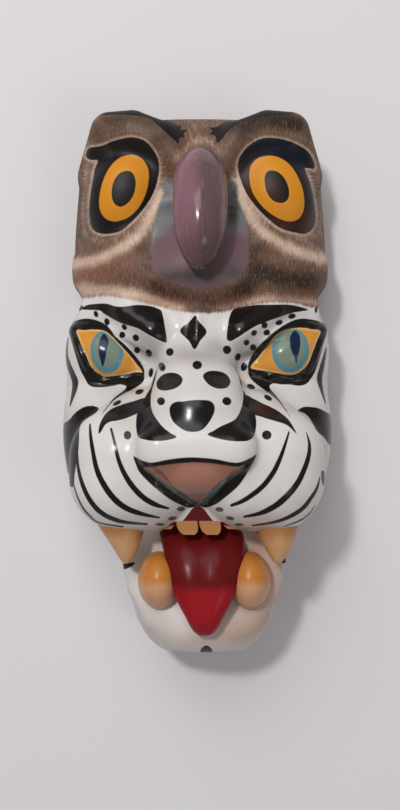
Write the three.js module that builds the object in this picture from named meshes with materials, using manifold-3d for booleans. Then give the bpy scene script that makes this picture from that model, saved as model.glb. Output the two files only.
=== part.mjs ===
// A carved balsa wood mask: an owl's head above a tiger's face with an open jaw.
// Millimetres. The mask lies on its flat back rim: +Z is out of the face and +Y runs up to the owl.
import * as THREE from "three";
import { mergeVertices } from "three/addons/utils/BufferGeometryUtils.js";
import Module from "manifold-3d";

// Driving sizes
const maskHeight = 385; // from the owl's brows to the chin
const maskWidth = 198; // across the tiger's cheeks
const maskDepth = 147; // from the back rim to the tip of the nose
const wallThickness = 15; // wood left between the hollow and the face
const rimWidth = 13; // flat back rim that the mask lies on
const fangLength = 45; // an upper fang, root and all
const incisorWidth = 14;
const incisorHeight = 15; // root and all
const incisorThickness = 5;
const faceStep = 8; // facet size of the carved face
const sideStep = 18; // facet height of the plain sides
const hollowStep = 17; // facet size of the hollow, which is smoother

// The carving below is drawn at these sizes and scaled to the driving ones
const drawn = { width: 198, height: 385, depth: 147 };
const scale = new THREE.Vector3(
  maskWidth / drawn.width,
  maskHeight / drawn.height,
  maskDepth / drawn.depth,
);
const leastScale = Math.min(scale.x, scale.y, scale.z);

// Fields: a distance in millimetres, below zero inside the wood
const join = (a, b, blend) => {
  const near = Math.max(blend - Math.abs(a - b), 0) / blend;
  return Math.min(a, b) - (near * near * blend) / 4;
};
const cut = (a, b, blend) => -join(-a, b, blend);
const ramp = (value, from, to) => THREE.MathUtils.smoothstep((value - from) / (to - from), 0, 1);

const ball = (x, y, z, radii) => {
  const reach = Math.hypot(x / radii[0], y / radii[1], z / radii[2]);
  const slope = Math.hypot(x / radii[0] ** 2, y / radii[1] ** 2, z / radii[2] ** 2);
  return slope > 0 ? (reach * (reach - 1)) / slope : -Math.min(...radii);
};

const block = (x, y, z, half, round) => {
  const dx = Math.abs(x) - half[0] + round;
  const dy = Math.abs(y) - half[1] + round;
  const dz = Math.abs(z) - half[2] + round;
  const outside = Math.hypot(Math.max(dx, 0), Math.max(dy, 0), Math.max(dz, 0));
  return outside + Math.min(Math.max(dx, dy, dz), 0) - round;
};

// A rod through stations of x, y, z and radius
const rod = (x, y, z, stations) => {
  let nearest = Infinity;
  for (let i = 1; i < stations.length; i++) {
    const [ax, ay, az, ar] = stations[i - 1];
    const [bx, by, bz, br] = stations[i];
    const [dx, dy, dz] = [bx - ax, by - ay, bz - az];
    const along = ((x - ax) * dx + (y - ay) * dy + (z - az) * dz) / (dx * dx + dy * dy + dz * dz);
    const t = THREE.MathUtils.clamp(along, 0, 1);
    const away = Math.hypot(x - ax - t * dx, y - ay - t * dy, z - az - t * dz);
    nearest = Math.min(nearest, away - ar - t * (br - ar));
  }
  return nearest;
};

// The hand-carved middle line wanders to one side and back
const middle = (y) => -2 * ramp(y, 70, 25) + 5 * ramp(y, -88, -122);

// The block that both heads are carved from
const core = { centre: 38, half: [86, 128, 66], round: 26, bow: 330 };

const owl = {
  block: { centre: 127, half: [93.5, 62.5, 82], round: 28, bow: 330, narrowing: 0.08 },
  brow: [
    [13, 152, 80, 8],
    [28, 171, 77, 12],
    [48, 177, 71, 15],
    [64, 177.5, 66, 14.5],
    [74, 150, 48, 15],
  ],
  eye: { at: [53, 134, 58], radii: [29, 37, 28], lean: 0.3 },
  beakSkirt: { at: [0, 88, 80], radii: [35, 36, 22] },
  cheek: [
    [26, 108, 80, 9],
    [42, 97, 80, 12],
    [62, 90, 70, 13],
    [78, 86, 50, 13],
  ],
  chin: { at: [0, 73, 47], radii: [92, 29, 52] },
};

function owlHead(x, y, z) {
  const side = Math.abs(x);
  const bowed = z + (side * side) / owl.block.bow;
  const narrowed = x * (1 + owl.block.narrowing * ramp(y, 90, 190));
  let wood = block(narrowed, y - owl.block.centre, bowed, owl.block.half, owl.block.round);
  const { at, radii, lean } = owl.eye;
  const [ex, ey] = [side - at[0], y - at[1]];
  const [turnedX, turnedY] = [
    ex * Math.cos(lean) + ey * Math.sin(lean),
    ey * Math.cos(lean) - ex * Math.sin(lean),
  ];
  wood = join(wood, ball(side, y - owl.chin.at[1], z - owl.chin.at[2], owl.chin.radii), 12);
  wood = join(wood, rod(side, y, z, owl.cheek), 12);
  wood = join(wood, ball(turnedX, turnedY, z - at[2], radii), 6);
  wood = join(wood, rod(side, y, z, owl.brow), 9);
  const skirt = owl.beakSkirt;
  return join(wood, ball(x, y - skirt.at[1], z - skirt.at[2], skirt.radii), 8);
}

const tiger = {
  block: { centre: -18, half: [94, 78, 84], round: 28, bow: 330 },
  forehead: { at: [0, 34, 78], radii: [30, 26, 20] },
  crest: [
    [0, 46, 96, 2],
    [0, 34, 98, 3],
    [0, 22, 96, 2],
  ],
  brow: [
    [31, 33, 86, 14],
    [50, 44, 79, 14],
    [76, 48, 60, 10],
  ],
  valley: [
    [27, 10, 103, 8],
    [46, 28, 98, 7],
    [70, 44, 86, 5],
  ],
  eye: { at: [63, 19, 57], radii: [30, 22, 28], lean: 0.5 },
  cheekBone: { at: [64, -20, 58], radii: [28, 18, 28] },
  temple: { at: [76, 20, 38], radii: [21, 36, 40] },
  jowl: { at: [71, -36, 36], radii: [28, 62, 46] },
  bridge: [
    [0, 24, 76, 20],
    [0, 6, 84, 27],
    [0, -12, 95, 33],
    [0, -28, 104, 38],
  ],
  noseTip: { at: [0, -46, 110], half: [40, 17, 37], round: 16 },
  leather: { at: [0, -57, 106], radii: [35, 27, 39] },
  padTop: { at: [38, -34, 84], radii: [28, 28, 32] },
  pad: { at: [43, -60, 82], half: [44, 43, 49], round: 36 },
  gum: { at: [0, -86, 90], half: [38, 13, 20], round: 6 },
};

function padForm(side, y, z) {
  const { at, half, round } = tiger.pad;
  return block(side - at[0], y - at[1], z - at[2], half, round);
}

function tigerFace(x, y, z) {
  const side = Math.abs(x);
  const bowed = z + (side * side) / tiger.block.bow;
  let wood = block(x, y - tiger.block.centre, bowed, tiger.block.half, tiger.block.round);
  const swell = (form, blend) => {
    const [cx, cy, cz] = form.at;
    wood = join(wood, ball(side - cx, y - cy, z - cz, form.radii), blend);
  };
  swell(tiger.temple, 8);
  swell(tiger.jowl, 8);
  swell(tiger.forehead, 14);
  wood = join(wood, rod(side, y, z, tiger.brow), 8);
  wood = cut(wood, rod(side, y, z, tiger.valley), 8);
  const { at, radii, lean } = tiger.eye;
  const [ex, ey] = [side - at[0], y - at[1]];
  const [turnedX, turnedY] = [
    ex * Math.cos(lean) + ey * Math.sin(lean),
    ey * Math.cos(lean) - ex * Math.sin(lean),
  ];
  wood = join(wood, ball(turnedX, turnedY, z - at[2], radii), 4);
  swell(tiger.cheekBone, 8);
  wood = join(wood, rod(x, y, z, tiger.crest), 4);
  wood = join(wood, rod(x, y, z, tiger.bridge), 7);
  const tip = tiger.noseTip;
  wood = join(wood, block(x, y - tip.at[1], z - tip.at[2], tip.half, tip.round), 9);
  swell(tiger.padTop, 10);
  wood = join(wood, padForm(side, y, z), 6);
  swell(tiger.leather, 3);
  return wood;
}

// The pads and gum hang over the mouth, so they are joined after it is cut
function padsOver(x, y, z) {
  const { at, half, round } = tiger.gum;
  return join(padForm(Math.abs(x), y, z), block(x, y - at[1], z - at[2], half, round), 3);
}

const jaw = {
  chin: { at: [0, -128, 0], half: [62, 66.5, 84], round: 27, bow: 170 },
  // The jaw's half width falls from the cheeks to the chin
  taper: { at: -126, slope: 0.27 },
  lip: [
    [50, -128, 64, 9],
    [44, -148, 69, 10],
    [31, -164, 71, 13],
    [12, -172, 73, 15],
    [0, -173, 73, 15],
  ],
  mouth: { at: [0, -121, 116], radii: [45, 27, 42] },
};

function lowerJaw(x, y, z) {
  const { at, half, round, bow } = jaw.chin;
  const width = half[0] + (y - jaw.taper.at) * jaw.taper.slope;
  const narrowed = (x * half[0]) / Math.max(width, half[0] / 2);
  const bowed = z + (x * x) / bow;
  const wood = block(narrowed, y - at[1], bowed - at[2], half, round);
  return join(wood, rod(Math.abs(x), y, z, jaw.lip), 12);
}

// The whole face, before the teeth, tongue and beak are joined to it
function face(x, y, z) {
  const [px, py, pz] = [x / scale.x, y / scale.y, z / scale.z];
  const fromMiddle = px - middle(py);
  const { at, radii } = jaw.mouth;
  let wood = join(tigerFace(fromMiddle, py, pz), lowerJaw(fromMiddle, py, pz), 12);
  wood = cut(wood, ball(fromMiddle - at[0], py - at[1], pz - at[2], radii), 5);
  wood = join(wood, padsOver(fromMiddle, py, pz), 3);
  const bowed = pz + (px * px) / core.bow;
  wood = join(wood, block(fromMiddle, py - core.centre, bowed, core.half, core.round), 4);
  return join(wood, owlHead(fromMiddle, py, pz), 14) * leastScale;
}

// The hollow for the wearer's face, a wall's thickness behind the carving
const hollowForm = {
  block: { centre: 2, half: [90, 184, 100], round: 40, bow: 120 },
};

function hollow(x, y, z) {
  const [px, py, pz] = [x / scale.x, y / scale.y, z / scale.z];
  const { centre, half, round, bow } = hollowForm.block;
  const fromMiddle = px - middle(py);
  const space = block(fromMiddle, py - centre, pz + fromMiddle ** 2 / bow, half, round);
  return Math.max(space * leastScale + rimWidth, face(x, y, z) + wallThickness);
}

// A closed mesh of a field's zero surface: one vertex for each sheet that crosses a cell
const corners = [0, 1, 2, 3, 4, 5, 6, 7].map((i) => [i & 1, (i >> 1) & 1, i >> 2]);
const cellEdges = [0, 1, 2].flatMap((axis) =>
  corners.map((_, i) => [i, i | (1 << axis), axis]).filter(([a, b]) => a !== b),
);
const cellFaces = [0, 1, 2].flatMap((axis) =>
  [0, 1].map((end) =>
    cellEdges
      .map(([a, b], edge) => ({ a, b, edge }))
      .filter(({ a, b }) => corners[a][axis] === end && corners[b][axis] === end),
  ),
);

function surfaceOf(field, grid) {
  const count = grid.map((places) => places.length);
  const stride = [1, count[0], count[0] * count[1]];
  const values = new Float32Array(count[0] * count[1] * count[2]);
  grid[2].forEach((z, k) =>
    grid[1].forEach((y, j) =>
      grid[0].forEach((x, i) => (values[i + j * stride[1] + k * stride[2]] = field(x, y, z))),
    ),
  );
  const cornerOffset = corners.map(([i, j, k]) => i + j * stride[1] + k * stride[2]);
  const positions = [];
  const vertexOf = new Map();

  const addCell = (i, j, k) => {
    const cell = i + j * stride[1] + k * stride[2];
    const value = cornerOffset.map((offset) => values[cell + offset]);
    const crossed = cellEdges.map(([a, b]) => value[a] < 0 !== value[b] < 0);
    if (!crossed.includes(true)) return;
    const sheet = cellEdges.map((_, edge) => edge);
    const unite = (a, b) => {
      const [from, to] = [sheet[a], sheet[b]];
      sheet.forEach((s, edge) => (sheet[edge] = s === from ? to : s));
    };
    for (const faceEdges of cellFaces) {
      const cuts = faceEdges.filter(({ edge }) => crossed[edge]);
      if (cuts.length === 2) unite(cuts[0].edge, cuts[1].edge);
      if (cuts.length === 4)
        for (const one of cuts)
          for (const other of cuts)
            if ([one.a, one.b].some((c) => value[c] < 0 && (c === other.a || c === other.b)))
              unite(one.edge, other.edge);
    }
    for (const name of new Set(sheet.filter((_, edge) => crossed[edge]))) {
      const sum = new THREE.Vector3();
      const edges = cellEdges.map((_, edge) => edge).filter((e) => crossed[e] && sheet[e] === name);
      for (const edge of edges) {
        const [a, b] = cellEdges[edge];
        const t = value[a] / (value[a] - value[b]);
        const start = new THREE.Vector3(...corners[a]);
        sum.add(start.lerp(new THREE.Vector3(...corners[b]), t));
        vertexOf.set(cell * 12 + edge, positions.length / 3);
      }
      sum.divideScalar(edges.length);
      const start = [grid[0][i], grid[1][j], grid[2][k]];
      const size = [i, j, k].map((n, axis) => grid[axis][n + 1] - grid[axis][n]);
      const point = start.map((value, axis) => value + size[axis] * sum.getComponent(axis));
      positions.push(...settle(field, point, size));
    }
  };
  for (let k = 0; k < count[2] - 1; k++)
    for (let j = 0; j < count[1] - 1; j++)
      for (let i = 0; i < count[0] - 1; i++) addCell(i, j, k);

  const index = [];
  const corner = (v) => new THREE.Vector3().fromArray(positions, v * 3);
  for (const key of vertexOf.keys()) {
    const edge = key % 12;
    const [start, , axis] = cellEdges[edge];
    if (start !== 0) continue;
    const cell = (key - edge) / 12;
    const [u, v] = [(axis + 1) % 3, (axis + 2) % 3];
    const around = [
      [0, 0],
      [1, 0],
      [1, 1],
      [0, 1],
    ].map(([du, dv]) => {
      const other = cell - du * stride[u] - dv * stride[v];
      const startCorner = (du << u) | (dv << v);
      const sameEdge = cellEdges.findIndex(([a, , x]) => a === startCorner && x === axis);
      return vertexOf.get(other * 12 + sameEdge);
    });
    if (values[cell] < 0) around.reverse();
    const [a, b, c, d] = around;
    const shortAC = corner(a).distanceTo(corner(c)) <= corner(b).distanceTo(corner(d));
    index.push(...(shortAC ? [a, c, b, a, d, c] : [a, d, b, b, d, c]));
  }
  const geometry = new THREE.BufferGeometry();
  geometry.setAttribute("position", new THREE.Float32BufferAttribute(positions, 3));
  geometry.setIndex(index);
  return geometry;
}

// Moves a point onto the field's surface, by no more than half a cell
function settle(field, from, size) {
  const point = [...from];
  const probe = 0.3;
  for (let turn = 0; turn < 3; turn++) {
    const here = field(...point);
    const slope = [0, 1, 2].map((axis) => {
      const ahead = [...point];
      ahead[axis] += probe;
      return (field(...ahead) - here) / probe;
    });
    const steep = slope[0] ** 2 + slope[1] ** 2 + slope[2] ** 2;
    if (steep < 1e-6) break;
    point.forEach((value, axis) => {
      const moved = value - (here * slope[axis]) / steep;
      const most = size[axis] / 2;
      point[axis] = THREE.MathUtils.clamp(moved, from[axis] - most, from[axis] + most);
    });
  }
  return point;
}

// A closed form with oval sections along a spine: each station is x, y, z, half width and half thickness
function sweptForm(stations, sides, turns) {
  const spine = new THREE.CatmullRomCurve3(stations.map(([x, y, z]) => new THREE.Vector3(x, y, z)));
  const size = new THREE.CatmullRomCurve3(stations.map(([, , , w, t]) => new THREE.Vector3(w, t, 0)));
  const across = new THREE.Vector3(1, 0, 0);
  const positions = [];
  for (let i = 0; i <= turns; i++) {
    const share = i / turns;
    const centre = spine.getPoint(share);
    const { x: width, y: thickness } = size.getPoint(share);
    const along = spine.getTangent(share);
    const up = new THREE.Vector3().crossVectors(along, across).normalize();
    for (let k = 0; k < sides; k++) {
      const angle = (2 * Math.PI * k) / sides;
      const point = centre.clone();
      point.addScaledVector(across, width * Math.cos(angle));
      point.addScaledVector(up, thickness * Math.sin(angle));
      positions.push(...point.toArray());
    }
  }
  const first = positions.length / 3;
  positions.push(...spine.getPoint(0).toArray(), ...spine.getPoint(1).toArray());
  const index = [];
  for (let k = 0; k < sides; k++) {
    const next = (k + 1) % sides;
    for (let i = 0; i < turns; i++) {
      const [a, b] = [i * sides + k, i * sides + next];
      index.push(a, b, a + sides, b, b + sides, a + sides);
    }
    index.push(first, next, k, first + 1, turns * sides + k, turns * sides + next);
  }
  const geometry = new THREE.BufferGeometry();
  geometry.setAttribute("position", new THREE.Float32BufferAttribute(positions, 3));
  geometry.setIndex(index);
  return geometry;
}

// Teeth, tongue and beak, in stations of x, y, z, half width and half thickness
const beak = [
  [0, 161, 84, 5, 4],
  [0, 152, 93, 13, 9],
  [0, 144, 99.5, 17, 12],
  [0, 135, 105, 18.2, 14],
  [0, 114, 114, 18.5, 15],
  [0, 96, 116, 16.3, 14],
  [0, 86, 114.5, 12.3, 11],
  [0, 80, 111.5, 7.5, 8],
  [0, 77.2, 108, 3, 4],
];
const tongue = [
  [0, -92, 58, 28, 9],
  [0, -108, 82, 29, 10],
  [0, -122, 93, 27, 10],
  [0, -135, 98, 24, 10],
  [0, -149, 100, 19, 9.5],
  [0, -162, 100, 13, 8],
  [0, -171, 97, 7, 5],
  [0, -174.5, 95, 2, 2],
];
const upperFang = { x: 53, top: -81, z: 94, lean: -0.08, swing: -0.065, radius: 23 };
const lowerFang = { at: [31.5, -139.4, 82], radii: [15, 20, 24], lean: 0.2 };
const nostril = [
  [37, -51, 144, 1.5, 3],
  [30.7, -59.7, 142, 3.4, 5],
  [22.7, -69, 134, 4.4, 6],
  [13, -77.3, 129, 4.4, 5.5],
  [5.3, -82.5, 121, 3.6, 4.5],
];
const incisors = { count: 4, spacing: 15.5, bottom: -105, outerRise: 3.5, z: 107.5 };

const mirrored = (stations, side) => stations.map(([x, ...rest]) => [side * x, ...rest]);

// Sets a form drawn on x = 0 over the wandering middle line, at the mask's scale
function placed(geometry) {
  const position = geometry.getAttribute("position");
  for (let i = 0; i < position.count; i++)
    position.setX(i, position.getX(i) + middle(position.getY(i)));
  return geometry.scale(scale.x, scale.y, scale.z);
}

function upperFangForm(side) {
  const { x, top, z, lean, swing, radius } = upperFang;
  const profile = [0, 0.25, 0.5, 0.75, 0.92].map(
    (share) => new THREE.Vector2(radius * Math.sqrt(1 - share) * (1 - 0.35 * share), share),
  );
  const points = [new THREE.Vector2(0, 0), ...profile, new THREE.Vector2(0, 1)];
  const length = fangLength / scale.y;
  const lathe = new THREE.LatheGeometry(
    points.map((p) => new THREE.Vector2(p.x, -length * p.y)).reverse(),
    12,
  );
  return placed(lathe.rotateX(lean).rotateZ(swing).translate(side * x, top, z));
}

function lowerFangForm(side) {
  const { at, radii, lean } = lowerFang;
  const form = new THREE.SphereGeometry(1, 14, 10).scale(...radii).rotateX(-lean);
  return placed(form.translate(side * at[0], at[1], at[2]));
}

function incisorForm(number) {
  const x = (number - (incisors.count - 1) / 2) * incisors.spacing;
  const half = incisorWidth / scale.x / 2;
  const height = incisorHeight / scale.y;
  const outline = new THREE.Shape();
  outline.moveTo(-half, height);
  outline.lineTo(-half, height / 2);
  outline.quadraticCurveTo(-half * 0.8, 0, -half * 0.5, 0);
  outline.lineTo(half * 0.5, 0);
  outline.quadraticCurveTo(half * 0.8, 0, half, height / 2);
  outline.lineTo(half, height);
  const depth = incisorThickness / scale.z;
  const form = new THREE.ExtrudeGeometry(outline, { depth, bevelEnabled: false, curveSegments: 3 });
  const bottom = incisors.bottom + (Math.abs(x) > incisors.spacing ? incisors.outerRise : 0);
  return placed(form.translate(x, bottom, incisors.z - depth / 2 - Math.abs(x) * 0.2));
}

// Joining and cutting the solids
const wasm = await Module();
wasm.setup();

function solidFrom(geometry) {
  geometry.deleteAttribute("normal");
  geometry.deleteAttribute("uv");
  const welded = mergeVertices(geometry, 1e-4);
  const solid = new wasm.Manifold(
    new wasm.Mesh({
      numProp: 3,
      vertProperties: new Float32Array(welded.attributes.position.array),
      triVerts: new Uint32Array(welded.index.array),
    }),
  );
  return solid;
}

function geometryFrom(solid) {
  const mesh = solid.getMesh();
  const geometry = new THREE.BufferGeometry();
  geometry.setAttribute("position", new THREE.BufferAttribute(mesh.vertProperties, 3));
  geometry.setIndex(new THREE.BufferAttribute(mesh.triVerts, 1));
  geometry.computeVertexNormals();
  return geometry;
}

const margin = 14;
const belowRim = 9; // the carving runs on below the rim and is sawn off flat
const sawn = (field) => (x, y, z) => Math.max(field(x, y, z), -z - belowRim);
const places = (from, to, step) => {
  const count = Math.ceil((to - from) / step);
  return Array.from({ length: count + 1 }, (_, i) => from + i * step);
};
// How far the carving reaches, as drawn
const topOf = (stations) => Math.max(...stations.map(([, y, , radius]) => y + radius));
const drawnReach = {
  side: Math.max(tiger.block.half[0], tiger.jowl.at[0] + tiger.jowl.radii[0], owl.block.half[0]),
  top: Math.max(owl.block.centre + owl.block.half[1], topOf(owl.brow)),
  bottom: jaw.chin.half[1] - jaw.chin.at[1],
  front: tiger.noseTip.at[2] + tiger.noseTip.half[2],
};
const gridOf = (step, lowStep) => {
  const x = (drawnReach.side + margin) * scale.x;
  const y = (Math.max(drawnReach.top, drawnReach.bottom) + margin) * scale.y;
  const front = (drawnReach.front + margin) * scale.z;
  const plainTo = drawnReach.front * scale.z * 0.34;
  const lower = places(-belowRim - lowStep, plainTo - lowStep / 2, lowStep);
  const upper = places(lower.at(-1) + step, front, step);
  return [places(-x, x, step), places(-y, y, step), [...lower, ...upper]];
};

let carved = solidFrom(surfaceOf(sawn(face), gridOf(faceStep, sideStep)));
const forms = [placed(sweptForm(beak, 14, 12)), placed(sweptForm(tongue, 16, 12))];
for (const side of [-1, 1]) forms.push(upperFangForm(side), lowerFangForm(side));
for (let i = 0; i < incisors.count; i++) forms.push(incisorForm(i));
for (const form of forms) carved = carved.add(solidFrom(form));
for (const side of [-1, 1])
  carved = carved.subtract(solidFrom(placed(sweptForm(mirrored(nostril, side), 8, 6))));
carved = carved.subtract(solidFrom(surfaceOf(sawn(hollow), gridOf(hollowStep, hollowStep))));
const saw = new THREE.BoxGeometry(3 * maskWidth, 3 * maskHeight, 2 * maskDepth);
carved = carved.subtract(solidFrom(saw.translate(0, 0, -maskDepth)));
// The origin is the middle of the box round the mask, on the rim
const reach = carved.boundingBox();
const centred = geometryFrom(carved);
centred.translate(-(reach.min[0] + reach.max[0]) / 2, -(reach.min[1] + reach.max[1]) / 2, 0);

const paint = new THREE.MeshStandardMaterial({ color: 0xd8d3cf, roughness: 0.18, metalness: 0 });
const mask = new THREE.Mesh(centred, paint);
mask.name = "mask";
const part = new THREE.Group();
part.add(mask);
export default part;
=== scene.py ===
import math

import bpy
import numpy as np
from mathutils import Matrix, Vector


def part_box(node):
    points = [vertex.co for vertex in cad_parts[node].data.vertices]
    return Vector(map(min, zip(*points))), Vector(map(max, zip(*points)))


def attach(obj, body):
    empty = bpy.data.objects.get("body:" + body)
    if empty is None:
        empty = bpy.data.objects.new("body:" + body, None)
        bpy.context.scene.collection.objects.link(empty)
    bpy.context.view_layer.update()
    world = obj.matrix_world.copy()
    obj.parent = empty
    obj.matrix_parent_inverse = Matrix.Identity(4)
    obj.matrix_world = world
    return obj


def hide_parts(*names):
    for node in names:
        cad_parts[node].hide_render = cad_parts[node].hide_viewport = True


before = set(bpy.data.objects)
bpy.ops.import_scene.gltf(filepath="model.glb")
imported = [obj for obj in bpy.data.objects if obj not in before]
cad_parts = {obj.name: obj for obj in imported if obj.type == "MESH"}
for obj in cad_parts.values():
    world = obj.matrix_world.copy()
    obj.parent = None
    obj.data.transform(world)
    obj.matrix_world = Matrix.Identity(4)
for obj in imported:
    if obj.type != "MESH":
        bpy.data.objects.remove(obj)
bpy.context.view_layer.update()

import openvdb
from mathutils import Vector

# Lengths in the carving code are millimetres in the drawing's frame, as in the CAD source.
# Painted outlines are given as seen from the camera, in the units of a 400 by 810 picture.
look = {
    "distance": 850.0, "centreY": -17.0, "focal": 1097.0, "middle": (200.0, 405.0),
    "rows": 810, "sensor": 36,
}


# Fields give a distance in millimetres, below zero inside the wood
def join(a, b, blend):
    near = np.maximum(blend - np.abs(a - b), 0) / blend
    return np.minimum(a, b) - near * near * blend / 4


def cut(a, b, blend):
    return -join(-a, b, blend)


def ramp(value, low, high):
    t = np.clip((value - low) / (high - low), 0, 1)
    return t * t * (3 - 2 * t)


def ball(x, y, z, radii):
    reach = np.sqrt((x / radii[0]) ** 2 + (y / radii[1]) ** 2 + (z / radii[2]) ** 2)
    slope = np.sqrt(
        (x / radii[0] ** 2) ** 2 + (y / radii[1] ** 2) ** 2 + (z / radii[2] ** 2) ** 2
    )
    return reach * (reach - 1) / np.maximum(slope, 1e-6)


def block(x, y, z, half, rounding):
    dx = np.abs(x) - half[0] + rounding
    dy = np.abs(y) - half[1] + rounding
    dz = np.abs(z) - half[2] + rounding
    outside = np.sqrt(np.maximum(dx, 0) ** 2 + np.maximum(dy, 0) ** 2 + np.maximum(dz, 0) ** 2)
    return outside + np.minimum(np.maximum(np.maximum(dx, dy), dz), 0) - rounding


def rod(x, y, z, stations):
    nearest = None
    for (ax, ay, az, ar), (bx, by, bz, br) in zip(stations, stations[1:]):
        dx, dy, dz = bx - ax, by - ay, bz - az
        t = ((x - ax) * dx + (y - ay) * dy + (z - az) * dz) / (dx * dx + dy * dy + dz * dz)
        t = np.clip(t, 0, 1)
        away = np.sqrt((x - ax - t * dx) ** 2 + (y - ay - t * dy) ** 2 + (z - az - t * dz) ** 2)
        away -= ar + t * (br - ar)
        nearest = away if nearest is None else np.minimum(nearest, away)
    return nearest


def middle(y):
    return -2 * ramp(y, 70, 25) + 5 * ramp(y, -88, -122)


# The carving has the CAD solid's forms, with finer ones in its folds
core = {"centre": 38, "half": (86, 128, 66), "round": 26, "bow": 330}
owl = {
    "block": {"centre": 127, "half": (93.5, 62.5, 82), "round": 28, "bow": 330, "narrowing": 0.08},
    "brow": [
        (13, 152, 80, 8),
        (28, 171, 77, 12),
        (48, 177, 71, 15),
        (64, 177.5, 66, 14.5),
        (74, 150, 48, 15),
    ],
    "eye": {"at": (53, 134, 58), "radii": (29, 37, 28), "lean": 0.3},
    "skirt": {"at": (0, 88, 80), "radii": (35, 36, 22)},
    "cheek": [(26, 108, 80, 9), (42, 97, 80, 12), (62, 90, 70, 13), (78, 86, 50, 13)],
    "chin": {"at": (0, 73, 47), "radii": (92, 29, 52)},
}
tiger = {
    "block": {"centre": -18, "half": (94, 78, 84), "round": 28, "bow": 330},
    "forehead": {"at": (0, 34, 78), "radii": (30, 26, 20)},
    "crest": [(0, 46, 96, 2), (0, 34, 98, 3), (0, 22, 96, 2)],
    "brow": [(31, 33, 86, 14), (50, 44, 79, 14), (76, 48, 60, 10)],
    "valley": [(27, 10, 103, 8), (46, 28, 98, 7), (70, 44, 86, 5)],
    "eye": {"at": (63, 19, 57), "radii": (30, 22, 28), "lean": 0.5},
    "cheekBone": {"at": (64, -20, 58), "radii": (28, 18, 28)},
    "temple": {"at": (76, 20, 38), "radii": (21, 36, 40)},
    "jowl": {"at": (71, -36, 36), "radii": (28, 62, 46)},
    "bridge": [(0, 24, 76, 20), (0, 6, 84, 27), (0, -12, 95, 33), (0, -28, 104, 38)],
    "noseTip": {"at": (0, -46, 110), "half": (40, 17, 37), "round": 16},
    "leather": {"at": (0, -57, 106), "radii": (35, 27, 39)},
    "padTop": {"at": (38, -34, 84), "radii": (28, 28, 32)},
    "pad": {"at": (43, -60, 82), "half": (44, 43, 49), "round": 36},
    "gum": {"at": (0, -86, 90), "half": (38, 13, 18), "round": 6},
    "nostril": [(37, -51, 145, 1), (30.7, -59.7, 142, 3.4), (22.7, -69, 133, 4.2), (13, -77.3, 128.5, 4.2),
                (5.3, -82.5, 120, 3)],
}
jaw = {
    "chin": {"at": (0, -128, 0), "half": (62, 66.5, 84), "round": 27, "bow": 170},
    "taper": {"at": -126, "slope": 0.27},
    "lip": [(50, -128, 64, 9), (44, -148, 69, 10), (31, -164, 71, 13), (12, -172, 73, 15), (0, -173, 73, 15)],
    "mouth": {"at": (0, -121, 116), "radii": (45, 27, 42)},
}
shell = {"wall": 15, "rim": 13, "centre": 2, "half": (90, 184, 100), "round": 40, "bow": 120}


def ballAt(x, y, z, form):
    cx, cy, cz = form["at"]
    return ball(x - cx, y - cy, z - cz, form["radii"])


def leaningBall(x, y, z, form):
    cx, cy, cz = form["at"]
    c, s = math.cos(form["lean"]), math.sin(form["lean"])
    ex, ey = x - cx, y - cy
    return ball(ex * c + ey * s, ey * c - ex * s, z - cz, form["radii"])


def blockAt(x, y, z, form):
    cx, cy, cz = form["at"]
    return block(x - cx, y - cy, z - cz, form["half"], form["round"])


def owlHead(x, y, z):
    side = np.abs(x)
    form = owl["block"]
    narrowed = x * (1 + form["narrowing"] * ramp(y, 90, 190))
    bowed = z + side * side / form["bow"]
    wood = block(narrowed, y - form["centre"], bowed, form["half"], form["round"])
    wood = join(wood, ballAt(side, y, z, owl["chin"]), 12)
    wood = join(wood, rod(side, y, z, owl["cheek"]), 12)
    wood = join(wood, leaningBall(side, y, z, owl["eye"]), 6)
    wood = join(wood, rod(side, y, z, owl["brow"]), 9)
    return join(wood, ballAt(x, y, z, owl["skirt"]), 8)


def tigerFace(x, y, z):
    side = np.abs(x)
    form = tiger["block"]
    bowed = z + side * side / form["bow"]
    wood = block(x, y - form["centre"], bowed, form["half"], form["round"])
    wood = join(wood, ballAt(side, y, z, tiger["temple"]), 8)
    wood = join(wood, ballAt(side, y, z, tiger["jowl"]), 8)
    wood = join(wood, ballAt(side, y, z, tiger["forehead"]), 14)
    wood = join(wood, rod(side, y, z, tiger["brow"]), 8)
    wood = cut(wood, rod(side, y, z, tiger["valley"]), 8)
    wood = join(wood, leaningBall(side, y, z, tiger["eye"]), 4)
    wood = join(wood, ballAt(side, y, z, tiger["cheekBone"]), 8)
    wood = join(wood, rod(x, y, z, tiger["crest"]), 4)
    wood = join(wood, rod(x, y, z, tiger["bridge"]), 7)
    wood = join(wood, blockAt(x, y, z, tiger["noseTip"]), 9)
    wood = join(wood, ballAt(side, y, z, tiger["padTop"]), 10)
    wood = join(wood, blockAt(side, y, z, tiger["pad"]), 6)
    wood = join(wood, ballAt(side, y, z, tiger["leather"]), 3)
    return cut(wood, rod(side, y, z, tiger["nostril"]), 1.5)


def padsOver(x, y, z):
    pads = blockAt(np.abs(x), y, z, tiger["pad"])
    pads = cut(pads, rod(np.abs(x), y, z, tiger["nostril"]), 1.5)
    return join(pads, blockAt(x, y, z, tiger["gum"]), 3)


def lowerJaw(x, y, z):
    form = jaw["chin"]
    half = form["half"]
    width = half[0] + (y - jaw["taper"]["at"]) * jaw["taper"]["slope"]
    narrowed = x * half[0] / np.maximum(width, half[0] / 2)
    bowed = z + x * x / form["bow"]
    wood = block(narrowed, y - form["at"][1], bowed - form["at"][2], half, form["round"])
    return join(wood, rod(np.abs(x), y, z, jaw["lip"]), 12)


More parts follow.
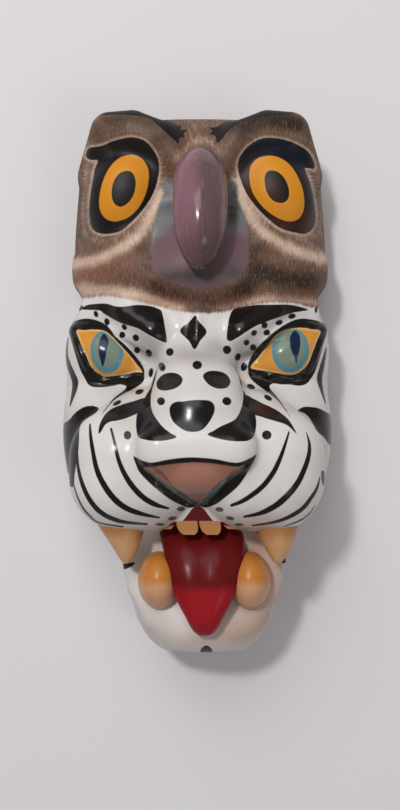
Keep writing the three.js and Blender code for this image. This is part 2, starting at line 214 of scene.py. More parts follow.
def faceField(x, y, z):
    fromMiddle = x - middle(y)
    wood = join(tigerFace(fromMiddle, y, z), lowerJaw(fromMiddle, y, z), 12)
    wood = cut(wood, ballAt(fromMiddle, y, z, jaw["mouth"]), 5)
    wood = join(wood, padsOver(fromMiddle, y, z), 3)
    bowed = z + x * x / core["bow"]
    wood = join(wood, block(fromMiddle, y - core["centre"], bowed, core["half"], core["round"]), 4)
    return join(wood, owlHead(fromMiddle, y, z), 14)


def hollowField(x, y, z, face):
    fromMiddle = x - middle(y)
    bowed = z + fromMiddle**2 / shell["bow"]
    space = block(fromMiddle, y - shell["centre"], bowed, shell["half"], shell["round"])
    return np.maximum(space + shell["rim"], face + shell["wall"])


def maskField(x, y, z):
    face = faceField(x, y, z)
    return np.maximum(np.maximum(face, -hollowField(x, y, z, face)), -z)


meshing = {
    "step": 3.0, "low": (-106, -200, -4), "high": (104, 200, 152),
    "finer": ((2.0, 2.6), (1.2, 0.9)),  # longest edge, and how near a painted edge it holds
    "longest": 9.0,
    "outerSkin": 0.4, "innerSkin": (2.4, 0.8),  # distance from the outer face
}


def carvedSurface():
    step = meshing["step"]
    x, y, z = [np.arange(lo, hi, step, dtype=np.float32) for lo, hi in zip(meshing["low"], meshing["high"])]
    values = np.empty((len(x), len(y), len(z)), dtype=np.float32)
    for i in range(0, len(x), 12):
        part = x[i : i + 12]
        values[i : i + 12] = maskField(part[:, None, None], y[None, :, None], z[None, None, :])
    grid = openvdb.FloatGrid(3 * step)
    grid.copyFromArray(np.clip(values, -3 * step, 3 * step))
    points, _, quads = grid.convertToPolygons(isovalue=0.0, adaptivity=0.0)
    points = points.astype(np.float64) * step + np.array(meshing["low"])
    quads = quads.astype(np.int64)
    diagonal = [np.linalg.norm(points[quads[:, a]] - points[quads[:, a + 2]], axis=1) for a in (0, 1)]
    first = (diagonal[0] <= diagonal[1])[:, None]
    one = np.where(first, quads[:, [0, 1, 2]], quads[:, [0, 1, 3]])
    two = np.where(first, quads[:, [0, 2, 3]], quads[:, [1, 2, 3]])
    return points, np.concatenate([one, two])


def gradient(field, points, probe=0.25):
    slopes = []
    for axis in range(3):
        shift = np.zeros(3)
        shift[axis] = probe
        slopes.append((field(*(points + shift).T) - field(*(points - shift).T)) / (2 * probe))
    return np.stack(slopes, 1)


def settled(points, most=0.8):
    moved = points.copy()
    for _ in range(3):
        value = maskField(*moved.T)
        slope = gradient(maskField, moved)
        steep = np.maximum((slope**2).sum(1), 0.05)
        moved -= np.clip(value / steep, -most, most)[:, None] * slope
    return moved


# Splits every edge that is longer than both its ends allow
def refined(points, triangles, allowed):
    edges = np.sort(
        np.concatenate([triangles[:, [0, 1]], triangles[:, [1, 2]], triangles[:, [2, 0]]]), axis=1
    )
    edges, where = np.unique(edges, axis=0, return_inverse=True)
    where = where.reshape(3, -1).T
    length = np.linalg.norm(points[edges[:, 0]] - points[edges[:, 1]], axis=1)
    split = length > np.minimum(allowed[edges[:, 0]], allowed[edges[:, 1]])
    number = np.full(len(edges), -1)
    number[split] = len(points) + np.arange(split.sum())
    added = points[edges[split]].mean(axis=1)
    mid = number[where]
    marks = (mid >= 0).sum(axis=1)
    out = [triangles[marks == 0]]
    t, m = triangles[marks == 3], mid[marks == 3]
    out += [np.stack(p, 1) for p in (
        (t[:, 0], m[:, 0], m[:, 2]), (m[:, 0], t[:, 1], m[:, 1]),
        (m[:, 2], m[:, 1], t[:, 2]), (m[:, 0], m[:, 1], m[:, 2]))]
    for k in range(3):
        turn = [k, (k + 1) % 3, (k + 2) % 3]
        chosen = (marks == 1) & (mid[:, k] >= 0)
        t, m = triangles[chosen][:, turn], mid[chosen][:, k]
        out += [np.stack((t[:, 0], m, t[:, 2]), 1), np.stack((m, t[:, 1], t[:, 2]), 1)]
        chosen = (marks == 2) & (mid[:, (k + 2) % 3] < 0)
        t, m = triangles[chosen][:, turn], mid[chosen][:, turn]
        out += [np.stack((m[:, 0], t[:, 1], m[:, 1]), 1),
                np.stack((t[:, 0], m[:, 0], m[:, 1]), 1), np.stack((t[:, 0], m[:, 1], t[:, 2]), 1)]
    return np.concatenate([points, added]), np.concatenate(out), len(points)


# Where the camera sees a point, in the picture's units
def seen(points):
    scale = (look["distance"] - points[:, 2]) / look["focal"]
    u = look["middle"][0] + points[:, 0] / scale
    v = look["middle"][1] - (points[:, 1] - look["centreY"]) / scale
    return np.stack([u, v], 1)


# Height of the outline that the camera sees, along the right, left, bottom and top
def outlineHeights(points):
    flat = seen(points) - look["middle"]
    tables = []
    for along, out, sign in ((1, 0, 1), (1, 0, -1), (0, 1, 1), (0, 1, -1)):
        places = np.arange(flat[:, along].min() + 6, flat[:, along].max() - 5, 8.0)
        heights = []
        for place in places:
            near = np.abs(flat[:, along] - place) < 6
            reach = flat[near, out] * sign
            heights.append(points[near, 2][reach > reach.max() - 0.5].max())
        smooth = np.convolve(np.pad(heights, 2, mode="edge"), np.ones(5) / 5, mode="valid")
        tables.append((along, places + look["middle"][along], smooth))
    return tables


# The sides are unrolled outwards, past that outline
unrolling = {"unit": 0.72, "steep": (0.5, 0.8), "straight": 150}


def unrolled(points, normals, outline):
    flat = seen(points)
    sides = (normals[:, 0], -normals[:, 0], -normals[:, 1], normals[:, 1])
    shares = [np.maximum(side, 0) ** 2 for side in sides]
    starts = [np.interp(flat[:, along], places, heights) for along, places, heights in outline]
    start = sum(a * b for a, b in zip(shares, starts)) / np.maximum(sum(shares), 1e-6)
    below = np.maximum(start - points[:, 2], 0) / unrolling["unit"]
    facing = np.linalg.norm(normals[:, :2], axis=1)
    straight = unrolling["straight"]
    away = np.stack([points[:, 0], np.clip(points[:, 1], -straight, straight) - points[:, 1]], 1)
    away /= np.maximum(np.linalg.norm(away, axis=1), 1e-6)[:, None]
    return flat + away * (below * ramp(facing, *unrolling["steep"]))[:, None]


# A smooth curve from b to c, with its neighbours a and d
def curve(a, b, c, d, t):
    bend = (2 * a - 5 * b + 4 * c - d) * t**2
    return 0.5 * (2 * b + (c - a) * t + bend + (3 * b - a - 3 * c + d) * t**3)


def withEnds(p):
    return np.concatenate([2 * p[:1] - p[1:2], p, 2 * p[-1:] - p[-2:-1]])


def smoothLoop(outline, steps=5, closed=True):
    p = np.array(outline, dtype=float)
    ring = np.concatenate([p[-1:], p, p[:2]]) if closed else withEnds(p)
    t = (np.arange(steps) / steps)[:, None]
    parts = [curve(*ring[i : i + 4], t) for i in range(len(ring) - 3)]
    if not closed:
        parts.append(p[-1:])
    return np.concatenate(parts)


far = 12.0  # distances beyond this many picture units are all the same


def toSegments(points, start, end, width=None):
    along = end - start
    length = np.maximum((along**2).sum(1), 1e-9)
    t = ((points[:, None] - start[None]) * along[None]).sum(2) / length
    t = np.clip(t, 0, 1)
    away = np.linalg.norm(points[:, None] - start[None] - t[..., None] * along[None], axis=2)
    if width is not None:
        away = away - (width[:-1] + t * (width[1:] - width[:-1])) / 2
    return away.min(axis=1)


def within(points, line, margin):
    low, high = line.min(0) - margin, line.max(0) + margin
    return ((points > low) & (points < high)).all(axis=1)


def chunked(points, work):
    return np.concatenate([work(points[i : i + 20000]) for i in range(0, len(points), 20000)])


def region(points, outline, steps=5):
    line = smoothLoop(outline, steps)
    nxt = np.roll(line, -1, axis=0)
    out = np.full(len(points), far)
    near = within(points, line, far)
    if not near.any():
        return out
    p = points[near]
    away = chunked(p, lambda q: toSegments(q, line, nxt))

    def crossings(q):
        (x0, y0), (x1, y1) = line.T, nxt.T
        straddle = (y0[None] > q[:, 1:2]) != (y1[None] > q[:, 1:2])
        at = x0 + (q[:, 1:2] - y0) / np.where(y1 == y0, 1e-9, y1 - y0) * (x1 - x0)
        return (straddle & (q[:, 0:1] < at)).sum(1) % 2 == 1

    inside = chunked(p, crossings)
    out[near] = np.minimum(np.where(inside, -away, away), far)
    return out


def stroke(points, path, widths):
    line = smoothLoop(path, closed=False)
    places = np.linspace(0, 1, len(line))
    width = np.interp(places, np.linspace(0, 1, len(widths)), widths)
    out = np.full(len(points), far)
    near = within(points, line, far)
    if near.any():
        away = chunked(points[near], lambda q: toSegments(q, line[:-1], line[1:], width))
        out[near] = np.minimum(away, far)
    return out


def dot(points, x, y, rx, ry, turn):
    c, s = math.cos(math.radians(turn)), math.sin(math.radians(turn))
    dx, dy = points[:, 0] - x, points[:, 1] - y
    reach = np.sqrt(((dx * c + dy * s) / rx) ** 2 + ((dy * c - dx * s) / ry) ** 2)
    return np.clip((reach - 1) * min(rx, ry), -far, far)


def union(distances):
    return np.minimum.reduce(distances)


def regions(points, outlines, steps=5):
    return union([region(points, outline, steps) for outline in outlines])


def dots(points, rows):
    return union([dot(points, *row) for row in rows])


def strokes(points, rows):
    return union([stroke(points, path, widths) for path, widths in rows])


furLine = [(40, 300), (83, 298), (106, 296), (131.4, 299.6), (160, 306.8), (185, 312), (211.8, 313),
           (238.6, 308.6), (265, 303), (292, 303), (317, 308), (360, 306)]

owlPaint = {
    "brows": [
        [(100, 114), (110, 100), (136, 96), (154, 104), (165, 114), (174, 123), (181.4, 126.6), (180, 130),
         (187.7, 130), (183.5, 133.5), (185, 137), (180, 138), (178.7, 143.5), (174, 140), (167, 133.6),
         (158, 125.4), (150, 119), (136, 115.6), (118, 114.6)],
        [(294, 113), (286, 98), (262, 96), (248, 108), (231, 118.5), (216, 127), (209, 127.5), (212.5, 131),
         (209.6, 134), (215, 136), (217.5, 143), (223, 137.4), (231.4, 128), (247.5, 120), (262, 116.4),
         (278, 115)],
    ],
    "eyes": [
        [(131.4, 137.3), (145.7, 141.8), (156.4, 156), (159, 170.4), (154.6, 190), (145.7, 206), (131.4, 222),
         (119, 231), (102.9, 233.8), (92, 229), (88.6, 215), (89.5, 197), (94, 170.4), (97.5, 160.5),
         (92, 160), (87.7, 158.8), (85.3, 155), (88.6, 148), (101, 146), (113.6, 141)],
        [(270.7, 137.9), (288.6, 141), (306.4, 149.8), (314, 160.4), (315, 168.4), (309.5, 168.2),
         (305.5, 168.6), (309, 178), (311.8, 186.4), (315.4, 206), (315.4, 224), (308, 232.9), (297.5, 232.9),
         (279.6, 227.5), (261.8, 213), (247.5, 195), (239.5, 175.7), (238.6, 161.4), (245.7, 149), (258, 140)],
    ],
    "rings": [
        [(131, 154.8), (141, 158), (147.5, 167), (148.8, 178), (146, 193), (139, 207), (128, 217.5),
         (115, 221.5),
         (105, 218), (99.8, 209), (99.4, 197), (103, 181), (110, 167), (119.5, 158)],
        [(268, 155.7), (279, 157.5), (290, 165), (298.5, 178), (303.5, 193), (304, 208), (299, 218.5),
         (289, 221.5),
         (276, 217), (263, 207), (253.5, 194), (249.5, 180), (250.5, 167), (257.5, 158.5)],
    ],
    "pupils": [
        [(127, 170.8), (132.5, 173), (135.6, 181), (134.5, 192), (129.5, 201.5), (121, 206.8), (114, 203),
         (111.6, 194), (113.5, 182), (119.5, 173.5)],
        [(270, 170.5), (278, 172), (285, 179), (289, 190), (288, 199), (282, 203), (273, 200.5), (267, 192.5),
         (264.6, 182), (265.5, 174)],
    ],
    "skirt": [(170.7, 178), (163.6, 193.6), (157, 211), (153, 233), (151, 256), (154.6, 270), (163, 277),
              (170.7, 281),
              (185, 286.4), (202, 289), (220.7, 286), (230, 282), (238.6, 277.5), (247.5, 265), (248.4, 241.8),
              (245.7, 218.6), (238.6, 200.7), (231.4, 180)],
}


def furDistance(uv):
    line = smoothLoop(furLine, 8, closed=False)
    edge = np.interp(uv[:, 0], line[:, 0], line[:, 1])
    return np.clip(uv[:, 1] - edge, -far, far)


tigerPaint = {
    "regions": [
        # brow patches and the diamond
        [(82, 309.5), (86, 305.5), (94, 304), (106, 303.6), (119, 306.8), (136.8, 305), (150, 306),
         (158, 308.6),
         (161.5, 311), (163.6, 319), (165.6, 331), (166.8, 341), (164, 342.3), (149, 335), (136.8, 328),
         (120.7, 323), (104.6, 314), (99, 310.4)],
        [(228.6, 321), (231, 312.5), (234, 309), (238.6, 307.4), (256, 305), (274, 304.6), (292, 305),
         (308, 309.5),
         (300, 311.6), (292, 313), (274, 319), (256, 326), (238.6, 337), (231, 341), (227.6, 340),
         (226.8, 335)],
        [(195.2, 315.4), (198.5, 321), (206.6, 331.4), (200.5, 340.5), (194.5, 349.4), (189, 341),
         (180, 330.6), (190, 321)],
        [(79, 309), (81, 305.6), (83, 306), (81.6, 309.5), (79.6, 311)],
        [(314.6, 309.4), (316, 306.2), (317.6, 308), (317, 312), (315.4, 313)],
        # eye surrounds
        [(68.9, 327.5), (72, 322.6), (78, 320), (85, 318.6), (95.7, 320), (109, 326.6), (122.5, 342.7),
         (140.4, 361.4),
         (144.6, 369), (144.8, 375.7), (143, 382), (136, 387.5), (128, 391.8), (114, 400.5), (101.5, 415),
         (112, 400),
         (126, 388.2), (121.6, 384.8), (110, 386.4), (99.3, 387.3), (89.5, 385.5), (84, 377), (79.2, 366.8),
         (73, 346)],
        [(325.9, 325.4), (321, 322.4), (314.4, 320), (300, 318.7), (285.7, 323.5), (271.3, 333), (257, 347.4),
         (249.3, 359), (247.4, 369.4), (250.3, 378), (257, 384.7), (266.6, 391.5), (279, 402), (291, 418),
         (281, 402),
         (272, 391), (269.6, 386.4), (273, 383.4), (281, 384.4), (290.5, 384.7), (300, 385.7), (307.7, 382.8),
         (314.4, 373), (318.4, 362), (321, 352), (324, 338)],
        # dark flanks of the nose
        [(157, 369), (153.6, 378), (151, 387), (144.4, 398), (138, 410), (136.2, 420), (136.4, 430),
         (138.6, 437),
         (146, 440), (154.6, 440.9), (167, 440.2), (176.6, 437), (171, 433.4), (164, 428), (158, 421),
         (152.5, 412), (150.6, 401),
         (152.2, 389), (155.6, 378)],
        [(234, 365.7), (238, 374), (240.6, 383.6), (246.2, 396), (253, 408), (256.2, 420), (255.6, 430),
         (253.4, 437),
         (247.5, 440.8), (238, 441.4), (229.6, 440.8), (218, 438.5), (207.4, 434.6), (214, 430.5),
         (221, 426.2), (229.5, 422.5),
         (236, 418.4), (241, 409), (243.4, 396), (241, 381)],
        # cheek stripes behind the flanks
        [(145, 398.6), (134, 401), (122.5, 404.4), (112, 408.6), (104.6, 415), (99.8, 424), (98.4, 433.6),
         (101.6, 431),
         (105, 425), (110, 421.8), (116, 420.8), (124, 419), (131, 416.2), (138.5, 412)],
        [(245.4, 395.6), (254, 399), (261.8, 403), (271, 407), (279.6, 412), (287, 418), (292, 424.6),
         (296.8, 434),
         (291, 428.4), (286, 424.6), (278.5, 422), (270.7, 419.8), (262, 417), (253.6, 413)],
        # patch on the nose
        [(169.4, 411), (171, 405), (175.5, 402), (183, 401.4), (192, 400.2), (201, 400), (209, 400.6),
         (213.6, 404),
         (214.8, 409), (212.9, 415.7), (206.4, 426), (200, 430.8), (194, 431.9), (187, 431.2), (180.4, 428),
         (172.7, 421)],
        # nose line, and the nostrils under it
        [(133.4, 456.4), (136.4, 457.4), (140, 459.6), (149, 462.6), (158, 461.6), (167, 459.8), (180, 458),
         (192, 457.4),
         (205, 458), (217, 459.4), (228, 461.8), (238.6, 462.6), (247.5, 459.4), (252, 457), (256.4, 454.4),
         (254.6, 460),
         (249, 470), (238.8, 485.4), (224, 498.4), (215, 504.6), (206, 507.4), (198.6, 506.2), (190, 507.8),
         (183, 505.8),
         (170.7, 499.8), (154.6, 487.4), (140.4, 473.4), (135.6, 463.6)],
        # jowl stripes
        [(98.6, 408.4), (94.4, 406.2), (90.4, 405.8), (84.6, 406.8), (79.6, 409.3), (74, 414), (69, 420),
         (60, 426), (52, 436),
         (49, 448), (50, 462), (56, 474), (64, 482), (73, 487), (74.6, 475), (76.4, 464), (78, 455),
         (79, 441), (79.4, 431), (81.4, 423.6), (87, 418.4), (95, 413.6)],
        [(298, 410.6), (301, 408), (305, 406.8), (312, 407), (319, 408.4), (326, 412), (336, 418), (344, 430),
         (342, 446), (331, 446),
         (323.4, 437), (317, 431.4), (313.4, 424.6), (309.4, 418.4), (304.6, 413.6)],
        [(321.4, 471), (325, 472), (325, 479), (323.4, 486), (321.6, 481)],
    ],
    "dots": [
        (96, 314, 2.2, 3.4, -20), (107, 321.7, 2.6, 3.6, -25), (124.3, 327, 2.4, 3.2, -35),
        (122.5, 334.6, 2.8, 3.2, -35),
        (135.9, 337.8, 3.1, 3.6, -35), (137.2, 350, 2.9, 3.3, -35), (148.8, 353, 3.0, 3.9, -25),
        (151, 372.6, 2.2, 4.8, 8),
        (169.8, 352, 3.9, 3.9, 0), (162, 366.8, 3.3, 4.5, -22), (161, 401.2, 4.0, 4.0, 0),
        (139.5, 391.8, 4.4, 2.5, -20), (117, 403, 4.6, 2.1, -28), (127.5, 435.2, 3.8, 4.3, 0),
        (197.2, 365, 4.8, 4.3, 0), (227, 349.8, 4.3, 4.3, 0), (226.8, 401.2, 4.6, 4.1, 15),
        (266.8, 435, 4.8, 4.6, 0),
        (292, 316.3, 3.9, 2.6, -14), (279, 322.5, 3.7, 2.5, -20), (264.6, 325.4, 3.0, 3.3, 30),
        (266.6, 332.4, 3.4, 2.8, -35),
        (254, 333, 3.2, 2.7, -40), (246.5, 342.6, 3.0, 2.8, -30), (253, 347.4, 3.1, 3.3, 35),
        (237.8, 357, 2.8, 3.9, 18),
        (243.6, 366.8, 2.9, 4.5, 10), (251, 386.8, 4.4, 2.5, 22), (268, 397.8, 4.6, 2.3, 32),
    ],
    "ovals": [
        [(156.4, 384), (158.6, 378.6), (164, 374), (172, 372.6), (179, 374.6), (182.6, 379), (180.4, 385),
         (173, 389.2), (163.6, 390.6), (158, 388.6)],
        [(203, 375.4), (207.4, 371.6), (215, 370.8), (223, 372.4), (228.6, 376.6), (230.4, 382.6),
         (227, 387.6), (219.4, 388.8), (211.4, 386.4), (205.4, 381.2)],
    ],
    "greyDots": [(181, 509, 4.2, 2.4, -6), (172.5, 518.4, 4.4, 1.9, -6), (160, 524.4, 4.6, 1.3, 2),
                 (219.5, 509.4, 4.2, 2.4, 6), (230, 518.2, 4.4, 1.9, 8), (239, 524.6, 4.6, 1.3, 0)],
    "strokes": [
        ([(111, 428.6), (115, 444), (118, 458), (124, 473), (133, 487), (144, 498), (156, 504.8),
          (168.4, 508.4)], (2.2, 3.2, 4.4, 5.4, 5.8, 5.4, 2.2)),
        ([(90, 424.6), (90.6, 436), (93, 452), (97, 470), (104, 485), (114, 498.6), (126, 508), (142, 514),
          (159, 517.6)], (2.0, 3.6, 4.8, 6.0, 6.2, 5.2, 1.8)),
        ([(77.4, 453), (78, 466), (81, 480), (87, 495), (96, 508), (108, 516.8), (124, 522),
          (147, 524.2)], (1.8, 3.4, 4.6, 5.2, 4.4, 2.0)),
        ([(73.4, 484), (77.2, 496), (82.4, 507), (89.4, 515.6), (99, 522.8),
          (123, 526.8)], (1.2, 2.0, 2.4, 1.6)),
        ([(289, 432), (284, 448), (279, 461), (273, 473), (263, 486), (252, 495), (241, 501.8),
          (231.4, 505.4)], (1.8, 3.6, 4.8, 5.2, 5.2, 4.4, 3.0)),
        ([(306.4, 432), (309.4, 444), (308.6, 456), (304, 470), (297, 484), (286, 497), (275, 506), (261, 513),
          (244, 516.8)], (0.8, 3.6, 5.0, 5.8, 6.4, 5.4, 2.2)),
        ([(320, 477), (317, 488), (311, 498), (303, 508), (291, 516), (275, 522),
          (252, 525.6)], (1.2, 3.2, 4.2, 4.4, 3.4, 1.4)),
        ([(315.4, 505), (309, 514), (299, 521), (284, 526.4)], (0.8, 1.8, 2.0, 1.0)),
        # thin stripes at the outer edges
        ([(67.8, 338), (66.6, 354), (68.6, 364), (72.4, 374), (75, 381), (74.8, 388), (72.8, 396),
          (70, 406)], (1.4, 3.6, 5.4, 6.4, 4.6, 1.2)),
        ([(64.2, 404), (62, 421)], (2.8, 1.4)),
        ([(326.4, 348), (322.2, 366), (319.6, 378), (321.2, 388), (325.4, 403)], (1.6, 4.6, 5.6, 3.8, 1.2)),
        # stripes that run back along the sides
        ([(54, 456), (36, 448), (18, 453), (-4, 448)], (3, 9, 7, 1.5)),
        ([(56, 408), (40, 404), (22, 408), (6, 404)], (1.5, 7, 5, 1)),
        ([(56, 358), (44, 350), (26, 354), (4, 350)], (1.5, 7, 6, 1.5)),
        ([(58, 324), (46, 318), (28, 322), (12, 318)], (1.5, 6, 4, 1)),
        ([(60, 490), (46, 488), (28, 494), (8, 492)], (1.5, 6, 5, 1)),
        ([(336, 446), (354, 450), (374, 444), (396, 450)], (3, 9, 7, 1.5)),
        ([(336, 402), (350, 408), (370, 402), (390, 406)], (1.5, 7, 5, 1)),
        ([(336, 352), (350, 358), (370, 350), (392, 354)], (1.5, 7, 6, 1.5)),
        ([(334, 324), (346, 320), (364, 324), (382, 320)], (1.5, 6, 4, 1)),
        ([(332, 486), (346, 490), (368, 484), (388, 490)], (1.5, 6, 5, 1)),
    ],
    # painted highlights: grey bands along the nostrils' inner edges, beside the leather
    "nostrilHighlights": [
        ([(146, 470.6), (158, 479), (167, 486), (176, 492), (186, 498.6),
          (197, 505)], (0.8, 2.2, 3.2, 3.6, 3.2)),
        ([(246, 468), (233.6, 475.6), (222, 484), (212.6, 493.4), (203, 504)], (0.8, 2.4, 4.4, 5.2, 3.2)),
    ],
    "mouthTop": [(197.6, 506.4), (203.4, 508.6), (208.4, 515), (214, 521.6), (224, 529.4), (200, 531),
                 (174, 529.4), (182.6, 521),
                 (188.6, 513.6), (192.6, 508.4)],
    "leather": [(143.6, 468.2), (152, 466.8), (166, 465), (180, 463.2), (194, 462.4), (208, 463), (222, 464.8),
                (236, 466.8),
                (244.6, 466), (238, 471.6), (229.6, 478), (220.7, 485.4), (213.4, 492), (206, 499),
                (198.4, 505.6), (191, 502.4),
                (184.6, 499), (176, 493.6), (167, 487.2), (155, 477)],
    "openings": [
        [(76, 330.4), (84, 329.8), (93, 329.2), (104.6, 330.8), (113.6, 338), (122.5, 347), (131.4, 357),
         (137, 364.6),
         (142.2, 372.2), (136, 372), (127, 374), (118, 375.7), (104.6, 377), (98.4, 374.8), (91.3, 367.7),
         (86, 356), (80.5, 343.6)],
        [(321, 330.6), (312, 329), (304.8, 327.6), (295, 327.8), (285.7, 330), (276, 336), (266.6, 346.5),
         (258, 357.5),
         (250.4, 367), (256, 369.6), (262.7, 370.6), (276, 373), (290.5, 375), (300, 372), (307.7, 364.6),
         (313.4, 351), (317.6, 340)],
    ],
    "irises": [(106.9, 351.6, 16.6, 21.6, -6), (290.5, 350.2, 18.6, 22.4, 6)],
    "inner": [(106, 350.8, 12.8, 17.6, -6), (290.2, 348.8, 14.4, 18.6, 6)],
    "slits": [
        [(104, 333.4), (107.4, 337.6), (108.6, 343), (106.6, 350), (105.6, 357), (102.8, 367), (100.4, 360),
         (98.6, 352), (98.6, 344), (100.6, 337.6)],
        [(294.6, 330.6), (299, 334), (300.4, 341), (299.6, 350), (297.4, 358), (296.6, 364), (294, 357),
         (291, 349), (289.6, 341), (291, 334.6)],
    ],
    "jawMarks": [
        [(117.6, 562.4), (124, 563.6), (134.4, 562.2), (132.6, 566), (122.6, 569.8), (119, 567)],
        [(289.4, 556.4), (290.6, 559.6), (284, 563.4), (281.6, 561)],
        [(200.4, 650), (203.6, 646.6), (206.4, 645.4), (209.6, 646.8), (212.4, 650.6), (211, 657), (202, 657)],
    ],
}


def tigerBlack(uv):
    outlines = tigerPaint["regions"] + tigerPaint["ovals"] + tigerPaint["jawMarks"]
    return union([regions(uv, outlines), dots(uv, tigerPaint["dots"]), strokes(uv, tigerPaint["strokes"])])


# Soft airbrushed light and dark on the owl: path, half width and amount
furTones = [
    ([(87, 165), (85, 190), (83, 215), (86, 234), (95, 240), (112, 239), (126, 231)], 3.2, 0.3),
    ([(86, 140), (100, 139), (115, 135), (131, 131), (147, 135)], 3.5, 0.2),
    ([(147, 135), (160, 150), (163, 172), (158, 196), (146, 216), (128, 234)], 3, 0.2),
    ([(160, 194), (152, 214), (138, 236), (118, 250), (95, 260), (70, 264)], 6, 0.85),
    ([(256, 135), (271, 131), (290, 134), (310, 142), (318, 154)], 3.5, 0.15),
    ([(236, 160), (238, 178), (246, 198), (262, 218), (284, 232), (300, 238), (314, 236)], 3, 0.25),
    ([(317, 168), (320, 190), (321, 215), (320, 234)], 3.5, 0.25),
    ([(236, 184), (244, 206), (260, 229), (284, 245), (310, 256), (332, 260)], 6.5, 0.85),
    ([(70, 290), (100, 291), (131, 294), (160, 301), (180, 307)], 7, 0.85),
    ([(215, 309), (240, 303), (265, 299), (300, 300), (330, 304)], 4, 0.45),
    ([(176, 160), (186, 149), (196, 141), (208, 141), (218, 150)], 4, 0.35),
    ([(196, 126), (196, 138)], 9, 0.25),
    ([(78, 132), (75, 180), (72, 240)], 6, -0.2),
    ([(326, 160), (330, 240)], 5, 0.15),
    ([(108, 122), (130, 120), (148, 125), (160, 138)], 7, -0.4),
    ([(92, 132), (97, 136)], 6, -0.4),
    ([(240, 130), (256, 122), (275, 119), (297, 124)], 8, -1.0),
    ([(156, 288), (172, 297), (200, 301), (228, 297), (244, 288)], 7, -0.6),
    ([(146, 250), (148, 270), (156, 286)], 8, -0.25),
    ([(254, 250), (252, 270), (246, 288)], 8, -0.55),
    ([(88, 276), (112, 270), (134, 272)], 6, -0.1),
    ([(262, 272), (290, 278), (310, 282)], 9, -0.85),
]
# Spots of another tint: x, y, reach across, reach down and amount
tints = {
    "furRed": [(90, 274, 26, 12, 0.8), (122, 260, 20, 9, 0.7), (150, 290, 20, 12, 0.3), (152, 303, 40, 5, 1.0),
               (250, 299, 50, 5, 0.5), (310, 296, 26, 8, 0.4),
               (176, 170, 9, 12, 0.4), (200, 140, 12, 8, 0.3)],
    "blackTint": [(250, 190, 12, 26, 1), (276, 226, 28, 13, 1), (306, 222, 10, 16, 0.9),
                  (276, 190, 10, 16, 0.6),
                  (268, 148, 26, 12, -1), (300, 158, 16, 14, -1), (266, 408, 18, 8, 0.9),
                  (322, 380, 9, 20, 0.5)],
    "shade": [(300, 404, 16, 14, 0.2), (182, 352, 12, 8, 0.2), (200, 356, 26, 12, 0.45),
              (216, 344, 12, 10, 0.3), (143, 346, 15, 18, 0.45), (248, 352, 15, 18, 0.5),
              (112, 316, 16, 6, 0.3), (283, 314, 18, 6, 0.3), (160, 330, 40, 60, 0.08), (152, 518, 40, 8, 0.3),
              (245, 518, 40, 8, 0.3)],
    # painted warm shadow on the jaw, where the tongue, fangs and muzzle shade it
    "jawWarmShadow": [(268, 556, 18, 34, 0.9), (262, 606, 26, 26, 1.0), (234, 632, 20, 12, 0.8),
                (160, 630, 30, 18, 0.3),
                (150, 545, 20, 18, 0.15), (250, 545, 22, 18, 1.1), (200, 640, 20, 8, 0.4)],
    # painted shade in the hollows beside the beak's upper part, and dark mottling below the beak
    "skirtMottleAndShade": [(166, 194, 8, 16, 0.9), (232, 206, 7, 22, 1.3), (190, 276, 26, 9, 0.8),
                  (226, 272, 18, 10, 0.9), (168, 274, 14, 8, 0.5)],
    "skirtMauve": [(162, 264, 22, 22, 1.5), (180, 240, 10, 18, 1.2), (205, 280, 30, 16, 1.3),
                   (236, 258, 18, 24, 1.5), (200, 250, 24, 14, 1)],
}


def spots(uv, values):
    tone = np.zeros(len(uv))
    for x, y, rx, ry, amount in values:
        tone += amount * np.exp(-(((uv[:, 0] - x) / rx) ** 2) - ((uv[:, 1] - y) / ry) ** 2)
    return tone


def furTone(uv):
    tone = np.zeros(len(uv))
    for path, width, amount in furTones:
        line = smoothLoop(path, 4, closed=False)
        near = within(uv, line, 3 * width)
        if near.any():
            away = chunked(uv[near], lambda q: toSegments(q, line[:-1], line[1:]))
            tone[near] += amount * np.exp(-((away / width) ** 2))
    return tone


# Across and along the fur: round each eye, and straight down elsewhere
furLie = {
    "eyes": ((122, 186, -1), (279, 184, 1)),  # x, y and side
    "squash": 0.72, "reach": (62, 42), "around": 34, "apart": 500,
}


def furFlow(uv):
    flow = np.zeros((len(uv), 3))
    weight = np.zeros(len(uv))
    for x, y, side in furLie["eyes"]:
        dx, dy = uv[:, 0] - x, (uv[:, 1] - y) * furLie["squash"]
        reach = np.hypot(dx, dy)
        angle = np.arctan2(dy, dx)
        here = ramp(reach, *furLie["reach"])
        chosen = here > weight
        flow[chosen, 0] = (angle * furLie["around"] + side * furLie["apart"])[chosen]
        flow[chosen, 1] = reach[chosen]
        weight = np.maximum(weight, here)
    flow[:, 2] = weight
    return flow


# In millimetres: where the stripes end on the undersides, and the heights over which the jaw's painted warm
# shadow fades out on its sides
undersides = {"depth": 62, "slope": 0.9, "most": 6, "top": -78, "jawShadowFade": (45, 75)}
# Dark red fills the gap between the pads and the gum's underside
mouthGap = {"top": -76, "front": 92, "half": 33, "bottom": -96, "depth": 22, "skin": 1.2}
eyeRimWidth = 1.2  # between the iris and the black, in the picture's units


def gumDistance(uv, points, across):
    y, z = points[:, 1], points[:, 2]
    inGap = (y < mouthGap["top"]) & (z > mouthGap["front"])
    gap = np.where(inGap, region(uv, tigerPaint["mouthTop"]), far)
    under = np.maximum(across - mouthGap["half"], y - mouthGap["bottom"])
    under = np.maximum(under, np.abs(z - mouthGap["front"]) - mouthGap["depth"])
    under = np.maximum(under, blockAt(across, y, z, tiger["gum"]) - mouthGap["skin"])
    return union([gap, np.clip(under, -far, far)])


